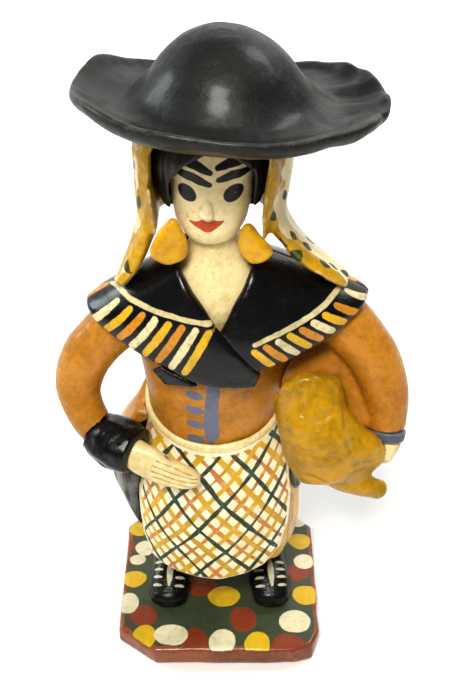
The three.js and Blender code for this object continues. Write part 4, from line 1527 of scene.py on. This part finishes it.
make_piece("Slab", "base_slab", slab, SLAB_PAINT, slab_marks)
for side, (middle, turn) in SHOES.items():
    laces = lace_marks(middle, turn)
    make_piece(f"Shoe_{side}", f"shoe_{side}", shoe(middle, turn), BLACK_PAINT, laces, FINE_STEP)
    make_piece(f"Leg_{side}", f"leg_{side}", leg(middle), BLACK_PAINT, step=1.2)
make_piece("Skirt", "skirt", skirt, SKIRT_PAINT, skirt_marks)
make_piece("Apron", "apron", apron, APRON_PAINT, apron_marks, step=0.5 * COARSE)
make_piece("Apron_string", "apron_waistband", waistband, CREAM_PAINT, step=0.5 * COARSE)
make_piece("Overskirt", "overskirt_drape", drape, DRAPE_PAINT)
make_piece("Peplum", "peplum", peplum, ORANGE_PAINT)
make_piece("Bodice", "bodice", bodice, ORANGE_PAINT, bodice_marks)
make_piece("Sleeve_right", "sleeve_right", sleeve("right"), ORANGE_PAINT)
make_piece("Sleeve_left", "sleeve_left", sleeve("left"), ORANGE_PAINT)
make_piece("Cuff", "cuff_right", cuff, BLACK_PAINT, step=FINE_STEP)
make_piece("Wristband", "wristband_left", wristband, BLUE_PAINT, step=FINE_STEP)
make_piece("Hand_right", "hand_right", hand_right, CREAM_PAINT, hand_marks, 0.35 * COARSE)
make_piece("Hand_left", "hand_left", hand_left, CREAM_PAINT, step=FINE_STEP)
make_piece("Neck", "neck_and_chest", neck, CREAM_PAINT, step=FINE_STEP)
make_piece("Head", "head", head, FACE_PAINT, head_marks, FINE_STEP)
make_piece("Nose", "nose", nose, FACE_PAINT, step=0.3)
make_piece("Hair", "hair", hair, HAIR_PAINT, step=FINE_STEP)
make_piece("Headscarf", "headscarf", headscarf, SCARF_PAINT, scarf_marks, 0.5 * COARSE)
make_piece("Earring_right", "earring_right", earring("right"), GOLD_PAINT, step=FINE_STEP)
make_piece("Earring_left", "earring_left", earring("left"), GOLD_PAINT, step=FINE_STEP)
make_piece("Hat", "hat", hat, HAT_PAINT)
SHAWL_PARTS = [  # piece, node, outline, how far it lies over the shoulders, thickness, in front
    ("Shawl_right", "shawl_right", SHAWL_RIGHT_FRONT, 0.9, 3.3, True),
    ("Shawl_left", "shawl_left", SHAWL_LEFT_FRONT, 0, 2.4, True),
    ("Shawl_back", "shawl_back", SHAWL_BACK_FRONT, 0, 2.4, False),
]
for name, node, outline, over, thickness, in_front in SHAWL_PARTS:
    part = shawl_piece(outline, over, thickness, in_front)
    make_piece(name, node, part, SHAWL_PAINT, shawl_marks)
tail = shawl_piece(SHAWL_TAIL_FRONT, 0.4, 3.4, True)
make_piece("Shawl_tail", "shawl_tail_left", tail, SHAWL_PAINT, step=FINE_STEP)
make_piece("Bundle", "bundle", bundle, MUSTARD_PAINT)

# ------------------------------------------------------------------ floor, light, camera


def stage_material():
    material = bpy.data.materials.new("pale_floor")
    material.use_nodes = True
    shader = material.node_tree.nodes["Principled BSDF"]
    shader.inputs["Base Color"].default_value = (0.84, 0.835, 0.825, 1)
    shader.inputs["Roughness"].default_value = 0.7
    return material


def add_floor():
    """A pale floor that rises into a backdrop behind the figure."""
    back, bend = 0.55, 0.4  # where the floor starts to rise and the radius of the bend
    turns = np.linspace(0.1, math.pi / 2, 16)
    profile = [(-2.5, 0), (back, 0)]
    profile += [(back + bend * math.sin(turn), bend - bend * math.cos(turn)) for turn in turns]
    profile.append((back + bend, 3))
    vertices = [(side * 3, y, z) for y, z in profile for side in (-1, 1)]
    faces = [(2 * i, 2 * i + 1, 2 * i + 3, 2 * i + 2) for i in range(len(profile) - 1)]
    data = bpy.data.meshes.new("Floor")
    data.from_pydata(vertices, [], faces)
    data.polygons.foreach_set("use_smooth", np.ones(len(faces), bool))
    data.materials.append(stage_material())
    floor = bpy.data.objects.new("Floor", data)
    bpy.context.scene.collection.objects.link(floor)


def add_light(name, place, target, size, power, tint=(1, 0.98, 0.93)):
    data = bpy.data.lights.new(name, "AREA")
    data.shape = "DISK"
    data.size = size
    data.energy = power
    data.color = tint
    light = bpy.data.objects.new(name, data)
    light.location = place
    direction = np.array(target) - np.array(place)
    light.rotation_mode = "QUATERNION"
    light.rotation_quaternion = Vector(direction).to_track_quat("-Z", "Y")
    bpy.context.scene.collection.objects.link(light)


CAMERA_PLACE = (0.0056, -0.2918, 0.3442)
CAMERA_PITCH = 36.85  # degrees below the horizon


def add_camera():
    data = bpy.data.cameras.new("Camera")
    data.sensor_width = 36
    data.lens = 54
    data.clip_start = 0.01
    camera = bpy.data.objects.new("Camera", data)
    camera.location = CAMERA_PLACE
    camera.rotation_euler = (math.radians(90 - CAMERA_PITCH), 0, 0)
    bpy.context.scene.collection.objects.link(camera)
    bpy.context.scene.camera = camera


def add_sky():
    world = bpy.data.worlds.new("Studio")
    world.use_nodes = True
    background = world.node_tree.nodes["Background"]
    background.inputs["Color"].default_value = (1, 0.97, 0.92, 1)
    background.inputs["Strength"].default_value = 0.14
    bpy.context.scene.world = world


add_floor()
add_sky()
add_light("Key", (-0.15, -0.7, 1.1), (0, 0, 0.1), 0.4, 15.5)
add_light("Side", (-1.1, 0.35, 0.6), (0, 0, 0.18), 0.5, 7, (0.88, 0.96, 1))
add_light("Backdrop", (0.5, 0.35, 0.9), (0.1, 1, 0.2), 0.5, 7, (1, 1, 1))
add_camera()
bpy.context.scene.view_settings.view_transform = "Standard"
bpy.context.scene.view_settings.look = "Medium High Contrast"
